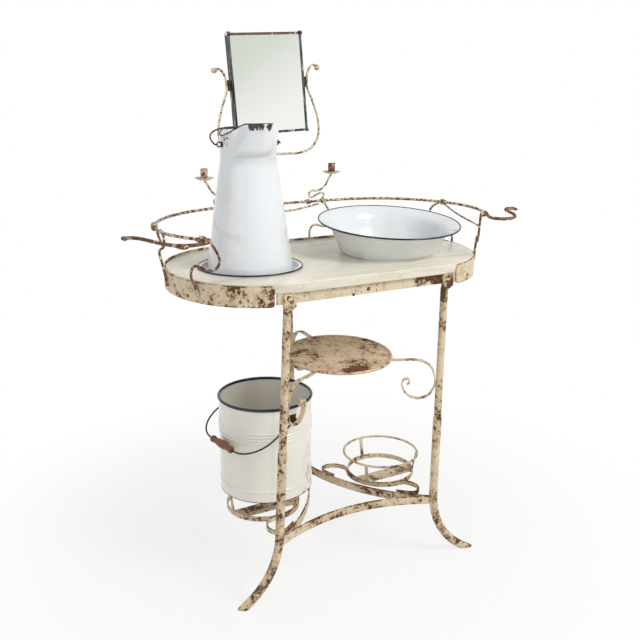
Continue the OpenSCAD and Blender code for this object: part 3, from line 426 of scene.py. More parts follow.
def chipped_paint(name, paint, bare=0.0, dirt=0.66, gloss=0.45):
    """Brushed oil paint on wrought iron, many decades old: it has chipped in irregular flakes
    with dark broken edges, the bare iron has a matt brown rust, and the paint beside it is
    stained. Chips crowd at edges, joints and feet, and small pits dot the sound paint."""
    c = colours()
    chip = sizes().chip / MM
    material, node, place = new_material(name)
    low, high, worn = wear_parts(node)
    level = node("SeparateXYZ", {0: place}).outputs[2]
    to_edge = node("Math", {0: node("Math", {0: level, 1: low}, operation="SUBTRACT"),
                            1: node("Math", {0: high, 1: level}, operation="SUBTRACT")},
                   operation="MINIMUM")
    edge = node("MapRange", {0: to_edge, 1: sizes().edge_wear, 2: 0.0, 4: 0.085}, **SMOOTH)
    wide = node("TexNoise", cloudy(place, chip * 4.5, 5, 0.6, 0.4))
    fine = node("TexNoise", cloudy(place, chip, 5, 0.65, 0.8))
    value = node("Math", {0: wide, 1: 0.55, 2: edge}, operation="MULTIPLY_ADD")
    value = node("Math", {0: fine, 1: 0.45, 2: value}, operation="MULTIPLY_ADD")
    value = node("Math", {0: value, 1: worn}, operation="ADD")
    value = node("Math", {0: value, 1: bare}, operation="ADD")
    chipped = node("MapRange", {0: value, 1: 0.60, 2: 0.612}, **SMOOTH)
    whole = node("Math", {0: 1.0, 1: chipped}, operation="SUBTRACT")
    broken = node("MapRange", {0: value, 1: 0.583, 2: 0.602}, **SMOOTH)
    broken = node("Math", {0: broken, 1: whole}, operation="MULTIPLY")
    stain = node("MapRange", {0: value, 1: 0.46, 2: 0.60, 4: dirt}, **SMOOTH)
    cells = node("TexVoronoi", {"Vector": place, "Scale": 1 / sizes().pit_spacing,
                                "Randomness": 1.0}).outputs
    lucky = node("SeparateColor", {0: cells["Color"]}).outputs[0]
    pit_size = node("MapRange", {0: lucky, 1: 0.5, 2: 1.0, 3: 0.0, 4: 0.3})
    pit = node("Math", {0: cells["Distance"], 1: pit_size}, operation="LESS_THAN")
    weak = node("Math", {0: fine, 1: worn}, operation="ADD")
    weak = node("MapRange", {0: weak, 1: 0.36, 2: 0.5}, **SMOOTH)
    pit = node("Math", {0: pit, 1: weak}, operation="MULTIPLY")
    brush = node("TexNoise", cloudy(node("Mapping", {0: place, 3: (1, 1, 0.25)}), 5))
    brush = node("MapRange", {0: brush, 1: 0.35, 2: 0.8, 4: 0.14}, **SMOOTH)
    grain = node("TexNoise", cloudy(place, 7, 5, 0.75))
    old = node("MapRange", {0: grain, 1: 0.36, 2: 0.62}, **SMOOTH)
    bloom = node("MapRange", {0: grain, 1: 0.58, 2: 0.72}, **SMOOTH)
    rust = node("Mix", {0: old, 6: c.rust_dark, 7: c.rust}, **RGBA)
    rust = node("Mix", {0: bloom, 6: rust, 7: c.rust_bloom}, **RGBA)
    tone = node("Mix", {0: stain, 6: paint, 7: c.paint_dirty}, **RGBA)
    tone = node("Mix", {0: brush, 6: tone, 7: c.paint_dirty}, **RGBA)
    tone = node("Mix", {0: broken, 6: tone, 7: c.rust_dark}, **RGBA)
    tone = node("Mix", {0: chipped, 6: tone, 7: rust}, **RGBA)
    tone = node("Mix", {0: pit, 6: tone, 7: c.rust_dark}, **RGBA)
    gone = node("Math", {0: chipped, 1: pit}, operation="MAXIMUM")
    rough = node("Math", {0: gone, 1: 0.92 - gloss, 2: gloss}, operation="MULTIPLY_ADD")
    skin = node("Math", {0: 1.0, 1: gone}, operation="SUBTRACT")
    skin = node("Math", {0: grain, 1: 0.45, 2: skin}, operation="MULTIPLY_ADD")
    finish(node, tone, rough, skin, 0.35, 0.8)
    return material


def bare_iron(name, flecks=0.0):
    """Wrought iron that has lost nearly all of its paint: matt, dark reddish brown rust with
    lighter bloom, and a few flecks of cream left in the hollows."""
    c = colours()
    material, node, place = new_material(name)
    grain = node("TexNoise", cloudy(place, 6, 5, 0.7))
    cloud = node("TexNoise", cloudy(place, 22, 4, 0.6, 0.5))
    left = node("Math", {0: node("TexNoise", cloudy(place, 8, 4, 0.65, 0.6)), 1: flecks},
                operation="ADD")
    left = node("MapRange", {0: left, 1: 0.58, 2: 0.61}, **SMOOTH)
    old = node("MapRange", {0: grain, 1: 0.36, 2: 0.6}, **SMOOTH)
    bloom = node("MapRange", {0: cloud, 1: 0.45, 2: 0.6, 4: 0.35}, **SMOOTH)
    tone = node("Mix", {0: old, 6: c.rust_dark, 7: c.rust}, **RGBA)
    tone = node("Mix", {0: bloom, 6: tone, 7: c.iron_bloom}, **RGBA)
    tone = node("Mix", {0: left, 6: tone, 7: c.paint}, **RGBA)
    rough = node("Math", {0: left, 1: -0.3, 2: 0.82}, operation="MULTIPLY_ADD")
    skin = node("Math", {0: grain, 1: left}, operation="ADD")
    finish(node, tone, rough, skin, 0.3, 0.8)
    return material


def polished_marble(name):
    """Polished white-grey marble, a little yellowed: cloudy, with faint streaks along the slab
    and a low sheen from years of washing."""
    c = colours()
    material, node, place = new_material(name)
    along = node("Mapping", {0: place, 3: (0.22, 1, 1)})
    streak = node("TexNoise", cloudy(along, 38, 6, 0.6, 1.1))
    vein = node("MapRange", {0: streak, 1: 0.5, 2: 0.72, 4: 0.7}, **SMOOTH)
    cloud = node("TexNoise", cloudy(place, 120, 4, 0.5))
    cloud = node("Math", {0: cloud, 1: 0.25}, operation="MULTIPLY")
    thread = node("Math", {0: node("TexNoise", cloudy(along, 70, 5, 0.55, 2.0)), 1: 0.5},
                  operation="SUBTRACT")
    thread = node("Math", {0: thread}, operation="ABSOLUTE")
    thread = node("MapRange", {0: thread, 1: 0.012, 2: 0.0, 4: 0.3}, **SMOOTH)
    tone = node("Mix", {0: vein, 6: c.marble, 7: c.marble_vein}, **RGBA)
    tone = node("Mix", {0: cloud, 6: tone, 7: c.marble_cloud}, **RGBA)
    tone = node("Mix", {0: thread, 6: tone, 7: c.marble_thread}, **RGBA)
    rough = node("Math", {0: streak, 1: 0.18, 2: 0.22}, operation="MULTIPLY_ADD")
    finish(node, tone, rough, node("TexNoise", cloudy(place, 6)), 0.05, 0.4)
    return material


def glass_enamel(name, tone):
    """Vitreous enamel on pressed steel: a thick glossy glass skin with a slow ripple, a little
    yellowing, and black chips where it was knocked."""
    c = colours()
    material, node, place = new_material(name)
    aged = node("TexNoise", cloudy(place, 90, 3, 0.5))
    aged = node("MapRange", {0: aged, 1: 0.4, 2: 0.75, 4: 0.35}, **SMOOTH)
    value = node("Math", {0: node("TexNoise", cloudy(place, 8, 4, 0.6, 0.5)),
                          1: wear_parts(node)[2]}, operation="ADD")
    chip = node("MapRange", {0: value, 1: 0.79, 2: 0.80}, **SMOOTH)
    halo = node("MapRange", {0: value, 1: 0.70, 2: 0.79, 4: 0.6}, **SMOOTH)
    tone = node("Mix", {0: aged, 6: tone, 7: c.enamel_aged}, **RGBA)
    tone = node("Mix", {0: halo, 6: tone, 7: c.chip_halo}, **RGBA)
    tone = node("Mix", {0: chip, 6: tone, 7: c.chip_iron}, **RGBA)
    rough = node("Math", {0: chip, 1: 0.6, 2: 0.12}, operation="MULTIPLY_ADD")
    finish(node, tone, rough, node("TexNoise", cloudy(place, 35, 2)), 0.25, 0.35,
           **{"Coat Weight": 0.4, "Coat Roughness": 0.05})
    return material


def rim_enamel(name):
    """Dark blue vitreous enamel fused over a rolled rim: glossy, with a few chips to iron."""
    c = colours()
    material, node, place = new_material(name)
    chip = node("TexNoise", cloudy(place, 7, 4, 0.6))
    chip = node("MapRange", {0: chip, 1: 0.68, 2: 0.70}, **SMOOTH)
    tone = node("Mix", {0: chip, 6: c.rim, 7: c.rust_dark}, **RGBA)
    rough = node("Math", {0: chip, 1: 0.6, 2: 0.15}, operation="MULTIPLY_ADD")
    finish(node, tone, rough, node("TexNoise", cloudy(place, 12, 2)), 0.1, 0.4)
    return material


def dark_wire(name):
    """Drawn iron wire gone nearly black, dull with a faint brown bloom."""
    c = colours()
    material, node, place = new_material(name)
    bloom = node("TexNoise", cloudy(place, 8, 4, 0.6))
    brown = node("MapRange", {0: bloom, 1: 0.45, 2: 0.7}, **SMOOTH)
    tone = node("Mix", {0: brown, 6: c.wire, 7: c.wire_bloom}, **RGBA)
    rough = node("Math", {0: bloom, 1: 0.3, 2: 0.4}, operation="MULTIPLY_ADD")
    finish(node, tone, rough, bloom, 0.1, 0.5, Metallic=0.55)
    return material


def silvered_glass(name):
    """Old silvered plate glass: a clear reflection, faintly green, with painted shade that darkens
    it toward one upper corner."""
    c = colours()
    material, node, place = new_material(name)
    x, _, z = node("SeparateXYZ", {0: place}).outputs
    # Painted shade: the glass turns a darker grey toward its upper left, set by the object's x and
    # height, with a little noise.
    painted_shade = node("Math", {0: x, 1: -0.6, 2: z}, operation="MULTIPLY_ADD")
    painted_shade = node("MapRange", {0: painted_shade, 1: 1.08, 2: 1.36}, **SMOOTH)
    painted_shade = node("Math", {0: node("TexNoise", cloudy(place, 60, 3, 0.5)), 1: 0.15, 2: painted_shade},
                operation="MULTIPLY_ADD")
    tone = node("Mix", {0: painted_shade, 6: c.silver, 7: c.silver_painted_shade}, **RGBA)
    finish(node, tone, 0.08, Metallic=1.0)
    return material


def dull_tin(name):
    """Folded tinplate gone dark grey: metallic, streaked along its folds, with bright rubbed
    lines and rust at the top rail."""
    c = colours()
    material, node, place = new_material(name)
    streak = node("Mapping", {0: place, 3: (1, 1, 0.08)})
    streak = node("TexNoise", cloudy(streak, 6, 4, 0.6))
    clean = node("MapRange", {0: streak, 1: 0.4, 2: 0.6}, **SMOOTH)
    rubbed = node("MapRange", {0: streak, 1: 0.6, 2: 0.66}, **SMOOTH)
    rust = node("Math", {0: node("TexNoise", cloudy(place, 12, 4, 0.65)),
                         1: wear_parts(node)[2]}, operation="ADD")
    rust = node("MapRange", {0: rust, 1: 0.62, 2: 0.7}, **SMOOTH)
    tone = node("Mix", {0: clean, 6: c.tin_dark, 7: c.tin}, **RGBA)
    tone = node("Mix", {0: rubbed, 6: tone, 7: c.tin_rubbed}, **RGBA)
    tone = node("Mix", {0: rust, 6: tone, 7: c.tin_rust}, **RGBA)
    rough = node("Math", {0: rust, 1: 0.4, 2: 0.38}, operation="MULTIPLY_ADD")
    metal = node("Math", {0: rust, 1: -0.75, 2: 0.8}, operation="MULTIPLY_ADD")
    finish(node, tone, rough, streak, 0.15, 0.5, Metallic=metal)
    return material


def stained_wood(name, tone, along, grain_mm=2.2):
    """Close-grained turned beech or plain deal board, stained and handled: fine streaks along
    the grain, darker pores and a soft wax sheen."""
    material, node, place = new_material(name)
    run = node("Mapping", {0: place, 3: along})
    grain = node("TexNoise", cloudy(run, grain_mm, 5, 0.65, 0.6))
    light = node("MapRange", {0: grain, 1: 0.3, 2: 0.75}, **SMOOTH)
    pores = node("TexNoise", cloudy(run, grain_mm * 0.6, 2))
    pores = node("MapRange", {0: pores, 1: 0.62, 2: 0.72, 4: 0.6}, **SMOOTH)
    dark = tuple(v * 0.35 for v in tone[:3]) + (1,)
    tone = node("Mix", {0: light, 6: dark, 7: tone}, **RGBA)
    tone = node("Mix", {0: pores, 6: tone, 7: dark}, **RGBA)
    rough = node("Math", {0: grain, 1: 0.25, 2: 0.4}, operation="MULTIPLY_ADD")
    finish(node, tone, rough, grain, 0.12, 0.5)
    return material


def shared(name, make, *args, **settings):
    """The material of that name, made the first time it is asked for."""
    return bpy.data.materials.get(name) or make(name, *args, **settings)


def painted():
    return shared("chipped_cream_oil_paint", chipped_paint, colours().paint)


def painted_pale():
    return shared("chipped_pale_oil_paint", chipped_paint, colours().paint_pale, -0.02, 0.55)


def rusty():
    return shared("rusted_wrought_iron", bare_iron)


def rusty_flecked():
    return shared("rusted_iron_cream_flecks", bare_iron, 0.09)


def dark_flecked():
    return shared("rusted_iron_few_flecks", bare_iron, 0.03)


def mottled():
    return shared("half_bare_painted_wire", bare_iron, 0.13)


# --------------------------------------------------------------------- pieces

class Piece:
    """What the operators that build the washstand's pieces share."""
    bl_options = {"REGISTER", "UNDO"}

    def execute(self, context):
        self.build()
        return {"FINISHED"}


class WASHSTAND_OT_slab(Piece, bpy.types.Operator):
    """Makes the marble slab with its edges ground round"""
    bl_idname = "washstand.slab"
    bl_label = "Marble slab"

    def build(self):
        bm = from_node("marble_top")
        wear(bm, BELOW_ALL, ABOVE_ALL, 0)
        sharp = [e for e in bm.edges if e.is_manifold and e.calc_face_angle(0) > 0.6]
        bmesh.ops.bevel(bm, geom=sharp, offset=sizes().marble_edge, segments=4, profile=0.5,
                        affect="EDGES", material=-1)
        marble = shared("polished_grey_marble", polished_marble)
        piece("slab", bm, marble, body_of("marble_top"), "marble_top", 50)


class WASHSTAND_OT_band(Piece, bpy.types.Operator):
    """Finishes the hoop round the slab, the front rail and the bars below the slab"""
    bl_idname = "washstand.band"
    bl_label = "Hoop and rails"

    def build(self):
        edge = sizes().strip_edge
        self.hoop(edge)
        rust_by_right_leg = near([(196, -240, 747, 34, 0.25), (150, -240, 757, 30, 0.12)])
        iron("front_rail", painted_pale(), rust_by_right_leg, edge, slices=(0, 8 * MM))
        heads = bmesh.new()
        for x, z, radius in ((2, 744.5, 4.6), (-37, 735.5, 3.4)):
            lump(heads, at_mm(x, -242.3, z), radius, 2.2, radius)
        piece("rail_rivet_heads", heads, rusty(), "stand", smooth=0)
        for node in ("cross_bars", "back_strap"):
            iron(node, painted(), 0.03, edge)
        iron("hoop_rivets", dark_flecked())

    def hoop(self, edge):
        """The hoop has its two front ends cut round, and rises a little toward the back."""
        end_radius = 8 * MM
        rise = 9 * MM
        bm = from_node("hoop")
        lo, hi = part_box("hoop")

        def is_end_corner(e):
            level = abs(e.verts[0].co.z - e.verts[1].co.z) < 0.1 * MM
            across_strip = 2 * MM < e.calc_length() < 3.6 * MM
            return (level and across_strip and e.verts[0].co.y < 0 and e.is_manifold
                    and e.calc_face_angle(0) > 1.2)

        corners = [e for e in bm.edges if is_end_corner(e)]
        bmesh.ops.bevel(bm, geom=corners, offset=end_radius, segments=6, profile=0.5,
                        affect="EDGES", material=-1)
        slice_mesh(bm, 0, 20 * MM)
        front_rust = near([(200, -242, 747, 50, 0.2), (-245, -235, 740, 60, 0.07),
                           (-330, -200, 745, 80, 0.04), (-300, -226, 742, 18, 0.08)], 0.01)
        wear(bm, lo.z, hi.z, front_rust)
        for v in bm.verts:
            v.co.z += rise * smoothstep(lo.y + 40 * MM, hi.y, v.co.y)
        obj = piece("iron_hoop", bm, painted(), body_of("hoop"), "hoop")
        round_edges(obj, edge)


class WASHSTAND_OT_legs(Piece, bpy.types.Operator):
    """Finishes three legs with their feet, and the stretchers with their bolts"""
    bl_idname = "washstand.legs"
    bl_label = "Legs and stretchers"

    def build(self):
        def end_rust(co):
            """More rust toward the floor and under the slab than between them."""
            low = 0.06 * (1 - smoothstep(0, 330 * MM, co.z))
            return low + 0.045 * smoothstep(640 * MM, 740 * MM, co.z) + 0.032

        for node in ("left_leg_tube", "right_leg_tube", "back_leg_tube"):
            iron(node, painted(), end_rust, slices=(2, 18 * MM))
        for node in ("left_foot", "right_foot", "back_foot"):
            iron(node, painted(), end_rust, slices=(2, 10 * MM))
        edge = sizes().strip_edge
        for node in ("front_stretcher", "left_stretcher", "right_stretcher"):
            iron(node, painted(), 0.03, edge, strip=True, slices=(0, 20 * MM))
        iron("stretcher_rivets", rusty_flecked())
        iron("leg_bolts", rusty_flecked())


class WASHSTAND_OT_shelf(Piece, bpy.types.Operator):
    """Finishes the round shelf and the three scrolled strips that carry it"""
    bl_idname = "washstand.shelf"
    bl_label = "Shelf"

    def build(self):
        lo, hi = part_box("shelf")
        worn_x = (lo.x + hi.x) / 2 - 14 * MM
        worn_y = lo.y + 26 * MM
        stretch = 2.2

        def bare(co):
            """Worn most in a long patch inside the front of the rim, where things are put."""
            away = Vector(((co.x - worn_x) / stretch, co.y - worn_y)).length
            return 0.2 * (1 - smoothstep(8 * MM, 26 * MM, away)) + 0.035

        pink = shared("worn_pink_oil_paint", chipped_paint, colours().shelf, -0.01, 0.7, 0.6)
        iron("shelf", pink, bare, slices=(1, 8 * MM), across=(0, 8 * MM))
        for side in ("left", "right", "back"):
            iron(side + "_shelf_scroll", painted(), 0.045, sizes().strip_edge)


class WASHSTAND_OT_holders(Piece, bpy.types.Operator):
    """Finishes the two pairs of rings that hold a pail and a can"""
    bl_idname = "washstand.holders"
    bl_label = "Ring holders"

    def build(self):
        for node in ("pail_holder_rings", "side_holder_rings"):
            iron(node, painted(), 0.05)
        for node in ("pail_holder_bow", "side_holder_bow"):
            iron(node, painted(), 0.05, sizes().strip_edge, strip=True)


class WASHSTAND_OT_gallery(Piece, bpy.types.Operator):
    """Finishes the gallery rail with its scrolls, swags and towel arms, and ties its joints"""
    bl_idname = "washstand.gallery"
    bl_label = "Gallery"

    def build(self):
        iron("gallery_rail", rusty_flecked())
        for node in ("left_towel_arm", "right_towel_arm"):
            iron(node, rusty())
        for node in ("front_scrolls", "end_scrolls"):
            iron(node, dark_flecked())
        iron("back_scrolls", mottled())
        iron("swags", rusty_flecked())
        self.ties()
        self.lumps()

    def ties(self):
        """Wire wound tightly round the rail where something is tied to it."""
        pitch = 3.6 * MM
        back_y = RAIL_LEFT[1] + RAIL_RADIUS
        left_dip = math.sin(math.radians(1.5))
        coils = []

        def tie(x, y, z, axis, radius, turns):
            coils.append(coil(Vector((x, y, z)) * MM, axis, radius * MM, turns, pitch,
                              sizes().tie_wire))

        for (x, y), dip, radius, turns, angles in ((RAIL_LEFT, left_dip, 6.2, 3.5, (160, 166, 215)),
                                                   (RAIL_RIGHT, 0, 6, 3, (322, 17))):
            for angle in angles:
                c, s = math.cos(math.radians(angle)), math.sin(math.radians(angle))
                tie(x + RAIL_RADIUS * c, y + RAIL_RADIUS * s, RAIL_Z + RAIL_RADIUS * c * dip,
                    (-s, c, 0), radius, turns)
        for x in (-131, 93, 139):
            tie(x, back_y, RAIL_Z, (1, 0, 0.2), 5.6, 3)
        piece("gallery_ties", joined(coils), rusty_flecked(), "stand")

    def lumps(self):
        """Hammered swellings along the left towel arm."""
        bm = bmesh.new()
        for x, y, z, long, high, angle in ((-420, -216, 872, 17, 6, -56),
                                           (-497, -84.5, 874, 8, 5, -50),
                                           (-357, -196, 874.5, 10, 6.5, 40)):
            turn = Matrix.Rotation(math.radians(angle), 4, "Z")
            lump(bm, at_mm(x, y, z) @ turn, long, 5.5, high)
        piece("arm_lumps", bm, dark_flecked(), "stand", smooth=0)


class WASHSTAND_OT_candles(Piece, bpy.types.Operator):
    """Finishes the candle arms, drip pans and cups"""
    bl_idname = "washstand.candles"
    bl_label = "Candle holders"

    def build(self):
        for node in ("left_candle_arm", "right_candle_arm"):
            iron(node, mottled())
        iron("drip_pans", painted_pale(), 0.03)
        iron("candle_cups", painted_pale(), 0.13)


class WASHSTAND_OT_mirror(Piece, bpy.types.Operator):
    """Finishes the tilting mirror, its bracket and its pivots"""
    bl_idname = "washstand.mirror"
    bl_label = "Mirror"

    def build(self):
        iron("mirror_bracket", mottled())
        iron("pivot_blocks", shared("dark_iron_wire", dark_wire))
        iron("mirror_pins", rusty())
        lo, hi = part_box("mirror_frame")
        tin = shared("dull_folded_tinplate", dull_tin)
        fold_radius = 0.7 * MM

        def top_rust(co):
            return 0.24 * smoothstep(hi.z - 22 * MM, hi.z - 8 * MM, co.z)

        iron("mirror_frame", tin, top_rust, fold_radius, slices=(2, 6 * MM))
        iron("mirror_glass", shared("old_silvered_plate_glass", silvered_glass))
        iron("mirror_back", shared("deal_back_board", stained_wood, colours().board,
                                   (1, 1, 0.08)))
        self.solder((lo + hi) / 2, tin)
        self.finials()

    def solder(self, centre, tin):
        """Lumps of solder where the folded tin is joined at the corners."""
        bm = bmesh.new()
        sideways = Matrix.Rotation(-math.atan2(0.04885, 0.99881), 4, "Y")
        backward = Matrix.Rotation(math.radians(-4), 4, "X")
        hang = Matrix.Translation(centre) @ sideways @ backward
        for x, z, radius in ((-99, 120.5, 8), (99, 120.5, 7), (-100, -121, 5), (100, -121, 5)):
            lump(bm, hang @ at_mm(x, -6, z), radius, 6.4, radius * 0.8)
        wear(bm, BELOW_ALL, ABOVE_ALL, 0.03)
        piece("mirror_solder", bm, tin, "mirror", smooth=0)

    def finials(self):
        """Balls riveted to the curled ends of the bracket."""
        bm = bmesh.new()
        for place in ((-168.6, 211.8, 1214.5), (118.4, 212.5, 1226)):
            lump(bm, at_mm(*place), 7.4, 6.6, 7)
        wear(bm, BELOW_ALL, ABOVE_ALL, 0.02)
        piece("bracket_finials", bm, painted(), "stand", smooth=0)


class WASHSTAND_OT_washing(Piece, bpy.types.Operator):
    """Makes the enamel dish, jug and basin that stand on the slab"""
    bl_idname = "washstand.washing"
    bl_label = "Dish, jug and basin"

    def build(self):
        white = shared("white_vitreous_enamel", glass_enamel, colours().enamel)
        navy = shared("dark_blue_rim_enamel", rim_enamel)
        self.dish(white, navy)
        self.jug(white)
        self.basin(white, navy)

    def dish(self, white, navy):
        centre = axis_point("jug_dish", TABLE_Z * MM)
        side = 112.5
        outline = ([(0, -13), (side - 6, -13)] + arc(side - 6, -7, 6, -90, 0, 5)[1:]
                   + [(side, 0), (side + 1, 0.4), (119, 0.4), (119, 1.8)]
                   + arc(side + 0.6, 0.1, 1.8, 90, 180, 4)
                   + arc(side - 6, -6.4, 4.8, 0, -90, 5) + [(0, -11.2)])
        bm = lathe(outline, centre)
        wear(bm, BELOW_ALL, ABOVE_ALL, 0)
        piece("dish", bm, white, "dish", "jug_dish", 45)
        rim = rolled(119.7, 1.85, 1.8, centre)
        piece("dish_rim", rim, navy, "dish", smooth=60)

    def jug(self, white):
        """A cone with a rolled shoulder, and a collar over it that a spout is beaten out of."""
        centre = axis_point("jug_ears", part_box("jug")[0].z)
        bm = lathe(self.jug_outline(), centre, 144, self.beat_collar)
        wear(bm, BELOW_ALL, ABOVE_ALL, self.jug_chips(centre))
        piece("jug_body", bm, white, "jug", "jug", 55)
        dark = shared("dark_iron_wire", dark_wire)
        lip = wire_mesh(self.lip_points(centre), sizes().jug_lip, True)
        piece("jug_lip", lip, dark, "jug")
        ear = Vector((centre.x, centre.y, JUG_EAR_Z))
        right = Vector((MM, 0, 0))
        coils = [coil(ear + right * way * 68.5, (-0.6, -0.8, 0), 5.2 * MM, 1.5, 2.6 * MM,
                      sizes().coil_wire) for way in (-1, 1)]
        plates = [ear_plate(Matrix.Translation(ear + right * way * 62.6), (1.6, 9, 12), 0.5)
                  for way in (-1, 1)]
        piece("jug_ear_coils", joined(coils + plates), dark, "jug", "jug_ears")
        iron("jug_bail", dark)

    def jug_outline(self):
        """Up the outer wall and down the inner one, each a cone and then a straight collar."""
        foot, neck, wall = 99.6, 62.4, 1.2
        low, tall, rows = 3.5, 255, 12
        cone = [(foot - (foot - neck) * i / rows, low + tall * i / rows) for i in range(rows + 1)]
        collar = [(neck, SHOULDER + COLLAR * i / rows) for i in range(rows + 1)]
        inside = [(r - wall, z) for r, z in reversed(cone[:-1])]
        return ([(0, 0), (94, 0), (97, 1)] + cone + [(63.4, 259.5), (63.2, 260.8)] + collar
                + [(r - wall, z) for r, z in reversed(collar)] + [(neck - wall, 259)] + inside
                + [(94, 1.6), (0, 1.6)])

    def mouth(self, angle):
        """How high the collar stands at an angle from the spout, in degrees."""
        for (a0, h0), (a1, h1) in zip(MOUTH, MOUTH[1:]):
            if angle <= a1:
                return h0 + (h1 - h0) * smoothstep(a0, a1, angle)
        return MOUTH[-1][1]

    def flare(self, angle, share):
        """How far the spout leans out at an angle and at a share of the collar's height."""
        return 26 * share * max(0, 1 - angle / (72 - 34 * share))

    def beat_collar(self, v):
        """Moves a point of the straight collar to the fold, the spout and the mouth's height."""
        share = (v.co.z / MM - SHOULDER) / COLLAR
        if share > 0.001:
            side = math.degrees(math.atan2(v.co.x, -v.co.y))
            past = side - (50 * share - 72)
            fold = (8 * smoothstep(0, 20, past) * (1 - smoothstep(60, 120, past))
                    * smoothstep(0, 0.15, share))
            v.co.xy *= 1 + fold / 62
            v.co.z = (SHOULDER + share * self.mouth(abs(side))) * MM
            v.co.xy *= 1 + self.flare(abs(side), share) * MM / v.co.xy.length

    def jug_chips(self, centre):
        """The enamel is knocked off along the spout, and stained beside the left ear."""
        knocks = [centre + Vector((reach * math.sin(a), -reach * math.cos(a), SHOULDER + 68)) * MM
                  for reach, a in ((78, -0.28), (84, -0.1), (84, 0.1))]
        ear = centre + Vector((-58, -14, SHOULDER + 36)) * MM

        def chipped(co):
            away = min((co - knock).length for knock in knocks)
            low = 0.5 * (1 - smoothstep(7 * MM, 16 * MM, away))
            return low + 0.26 * (1 - smoothstep(4 * MM, 26 * MM, (co - ear).length))
        return chipped

    def lip_points(self, centre):
        count = 96
        points = []
        for i in range(count):
            angle = math.tau * i / count
            away = abs((math.degrees(angle) + 180) % 360 - 180)
            reach = 61.8 + self.flare(away, 1)
            points.append(centre + Vector((reach * math.sin(angle), -reach * math.cos(angle),
                                           SHOULDER + self.mouth(away) - 0.4)) * MM)
        return points

    def basin(self, white, navy):
        """A flared bowl whose back stands higher than its front, laid flat where it rests."""
        rim_height = 859.05 * MM
        centre = axis_point("basin", rim_height)
        turn = Matrix.Rotation(math.radians(5), 3, "X")
        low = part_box("basin")[0].z - rim_height

        def lean(v):
            v.co = turn @ v.co

        def lean_on_slab(v):
            lean(v)
            v.co.z = max(v.co.z, low)

        outline = ([(0, -84), (111, -84), (116, -78), (122, -73), (133, -49), (144, -22)]
                   + arc(150, -20.5, 4.5, 180, 110, 4) + [(162, -10), (174, -3.4)]
                   + [(174, -1.8), (168, -4.3), (161, -7.6), (154, -11.6), (148.4, -15.7),
                      (143.8, -21), (140, -29.5), (131.6, -49), (123.5, -67), (118, -74.5),
                      (109, -79.8), (96, -81.5), (0, -81.5)])
        bm = lathe(outline, centre, 144, lean_on_slab)
        wear(bm, BELOW_ALL, ABOVE_ALL, 0)
        piece("basin_bowl", bm, white, "basin", "basin", 50)
        rim = rolled(175.8, -2.4, 2.2, centre, steps=144, shift=lean)
        piece("basin_rim", rim, navy, "basin", smooth=60)


class WASHSTAND_OT_pail(Piece, bpy.types.Operator):
    """Makes the enamel pail with its ears, bail and turned grip"""
    bl_idname = "washstand.pail"
    bl_label = "Pail"

    def build(self):
        lo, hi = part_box("pail")
        centre = axis_point("pail", lo.z)
        top = (hi.z - lo.z) / MM - 4.5
        r = 112
        bm = lathe(self.outline(r), centre)
        x, y = centre.x / MM, centre.y / MM
        wear(bm, BELOW_ALL, ABOVE_ALL, near([(x + 72, y - 86, 262, 22, 0.2),
                                             (x + 55, y - 97, 234, 20, 0.2)]))
        warm = shared("warm_white_vitreous_enamel", glass_enamel, colours().pail_enamel)
        piece("pail_body", bm, warm, "pail", "pail")
        navy = shared("dark_blue_rim_enamel", rim_enamel)
        rim = rolled(r - 0.4, top + 0.8, 3.6, centre, 16)
        piece("pail_rim", rim, navy, "pail", smooth=60)
        dark = shared("dark_iron_wire", dark_wire)
        foot = rolled(r - 0.9, 1.3, 1.3, centre, 10)
        piece("pail_foot_line", foot, dark, "pail", smooth=60)
        self.ears(Vector((centre.x, centre.y, PAIL_EAR_Z)), dark)
        iron("pail_bail", dark)
        self.grip()

    def outline(self, r):
        """A straight wall with five pressed beads, one low and four below the middle."""
        bead = sizes().bead / MM
        inner = r - 1.4
        wall = []
        for z in (28, 151, 159, 167, 175):
            swell = [(r + bead * math.sin(math.radians(a)),
                      z - bead * 1.6 * math.cos(math.radians(a))) for a in range(0, 181, 30)]
            wall += [(r, z - bead * 2.2)] + swell + [(r, z + bead * 2.2)]
        return ([(0, 8), (r - 3, 8), (r - 2.6, 0.8), (r - 1.5, 0), (r, 0.6), (r, 6)] + wall
                + [(r, 200), (r, 232), (inner, 232), (inner, 200), (inner, 100), (inner, 12),
                   (r - 3.5, 9.6), (0, 9.6)])

    def grip(self):
        """A turned grip: a belly between two grooves, with a bead at each end."""
        lo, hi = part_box("pail_grip")
        half = 42.5
        side = ([(2.6, half), (6.6, half), (8.2, half - 1.5), (8.6, half - 4.5),
                 (7.8, half - 7.6), (6.0, half - 9), (6.0, half - 10.5), (7.2, half - 11.5),
                 (7.4, half - 13), (6.4, half - 14.5), (8, 19), (9.4, 9), (9.8, 0)])
        outline = side + [(x, -z) for x, z in reversed(side[:-1])]
        upright_to_level = Matrix.Rotation(math.radians(90), 3, "X")
        turn = Matrix.Rotation(math.radians(PAIL_TURN), 3, "Z") @ upright_to_level

        def lay(v):
            v.co = turn @ v.co

        bm = lathe(outline, (lo + hi) / 2, 48, lay)
        beech = shared("stained_turned_beech", stained_wood, colours().wood, (1, 0.12, 1), 1.6)
        piece("turned_grip", bm, beech, "pail_grip", "pail_grip", 50)

    def ears(self, middle, dark):
        """A plate and a wound ear on each side, where the bail turns."""
        parts = []
        for angle in (90 + PAIL_TURN, 270 + PAIL_TURN):
            place = Matrix.Translation(middle) @ Matrix.Rotation(math.radians(angle), 4, "Z")
            axis = place.to_3x3() @ Vector((1, 0, 0))
            parts.append(coil(middle + axis * 118 * MM, axis, 5.4 * MM, 3, 3 * MM,
                              sizes().coil_wire))
            parts.append(ear_plate(place @ at_mm(113, 0, 0), (1.8, 18, 24), 0.6))
        piece("pail_ear_coils", joined(parts), dark, "pail", "pail_ears")


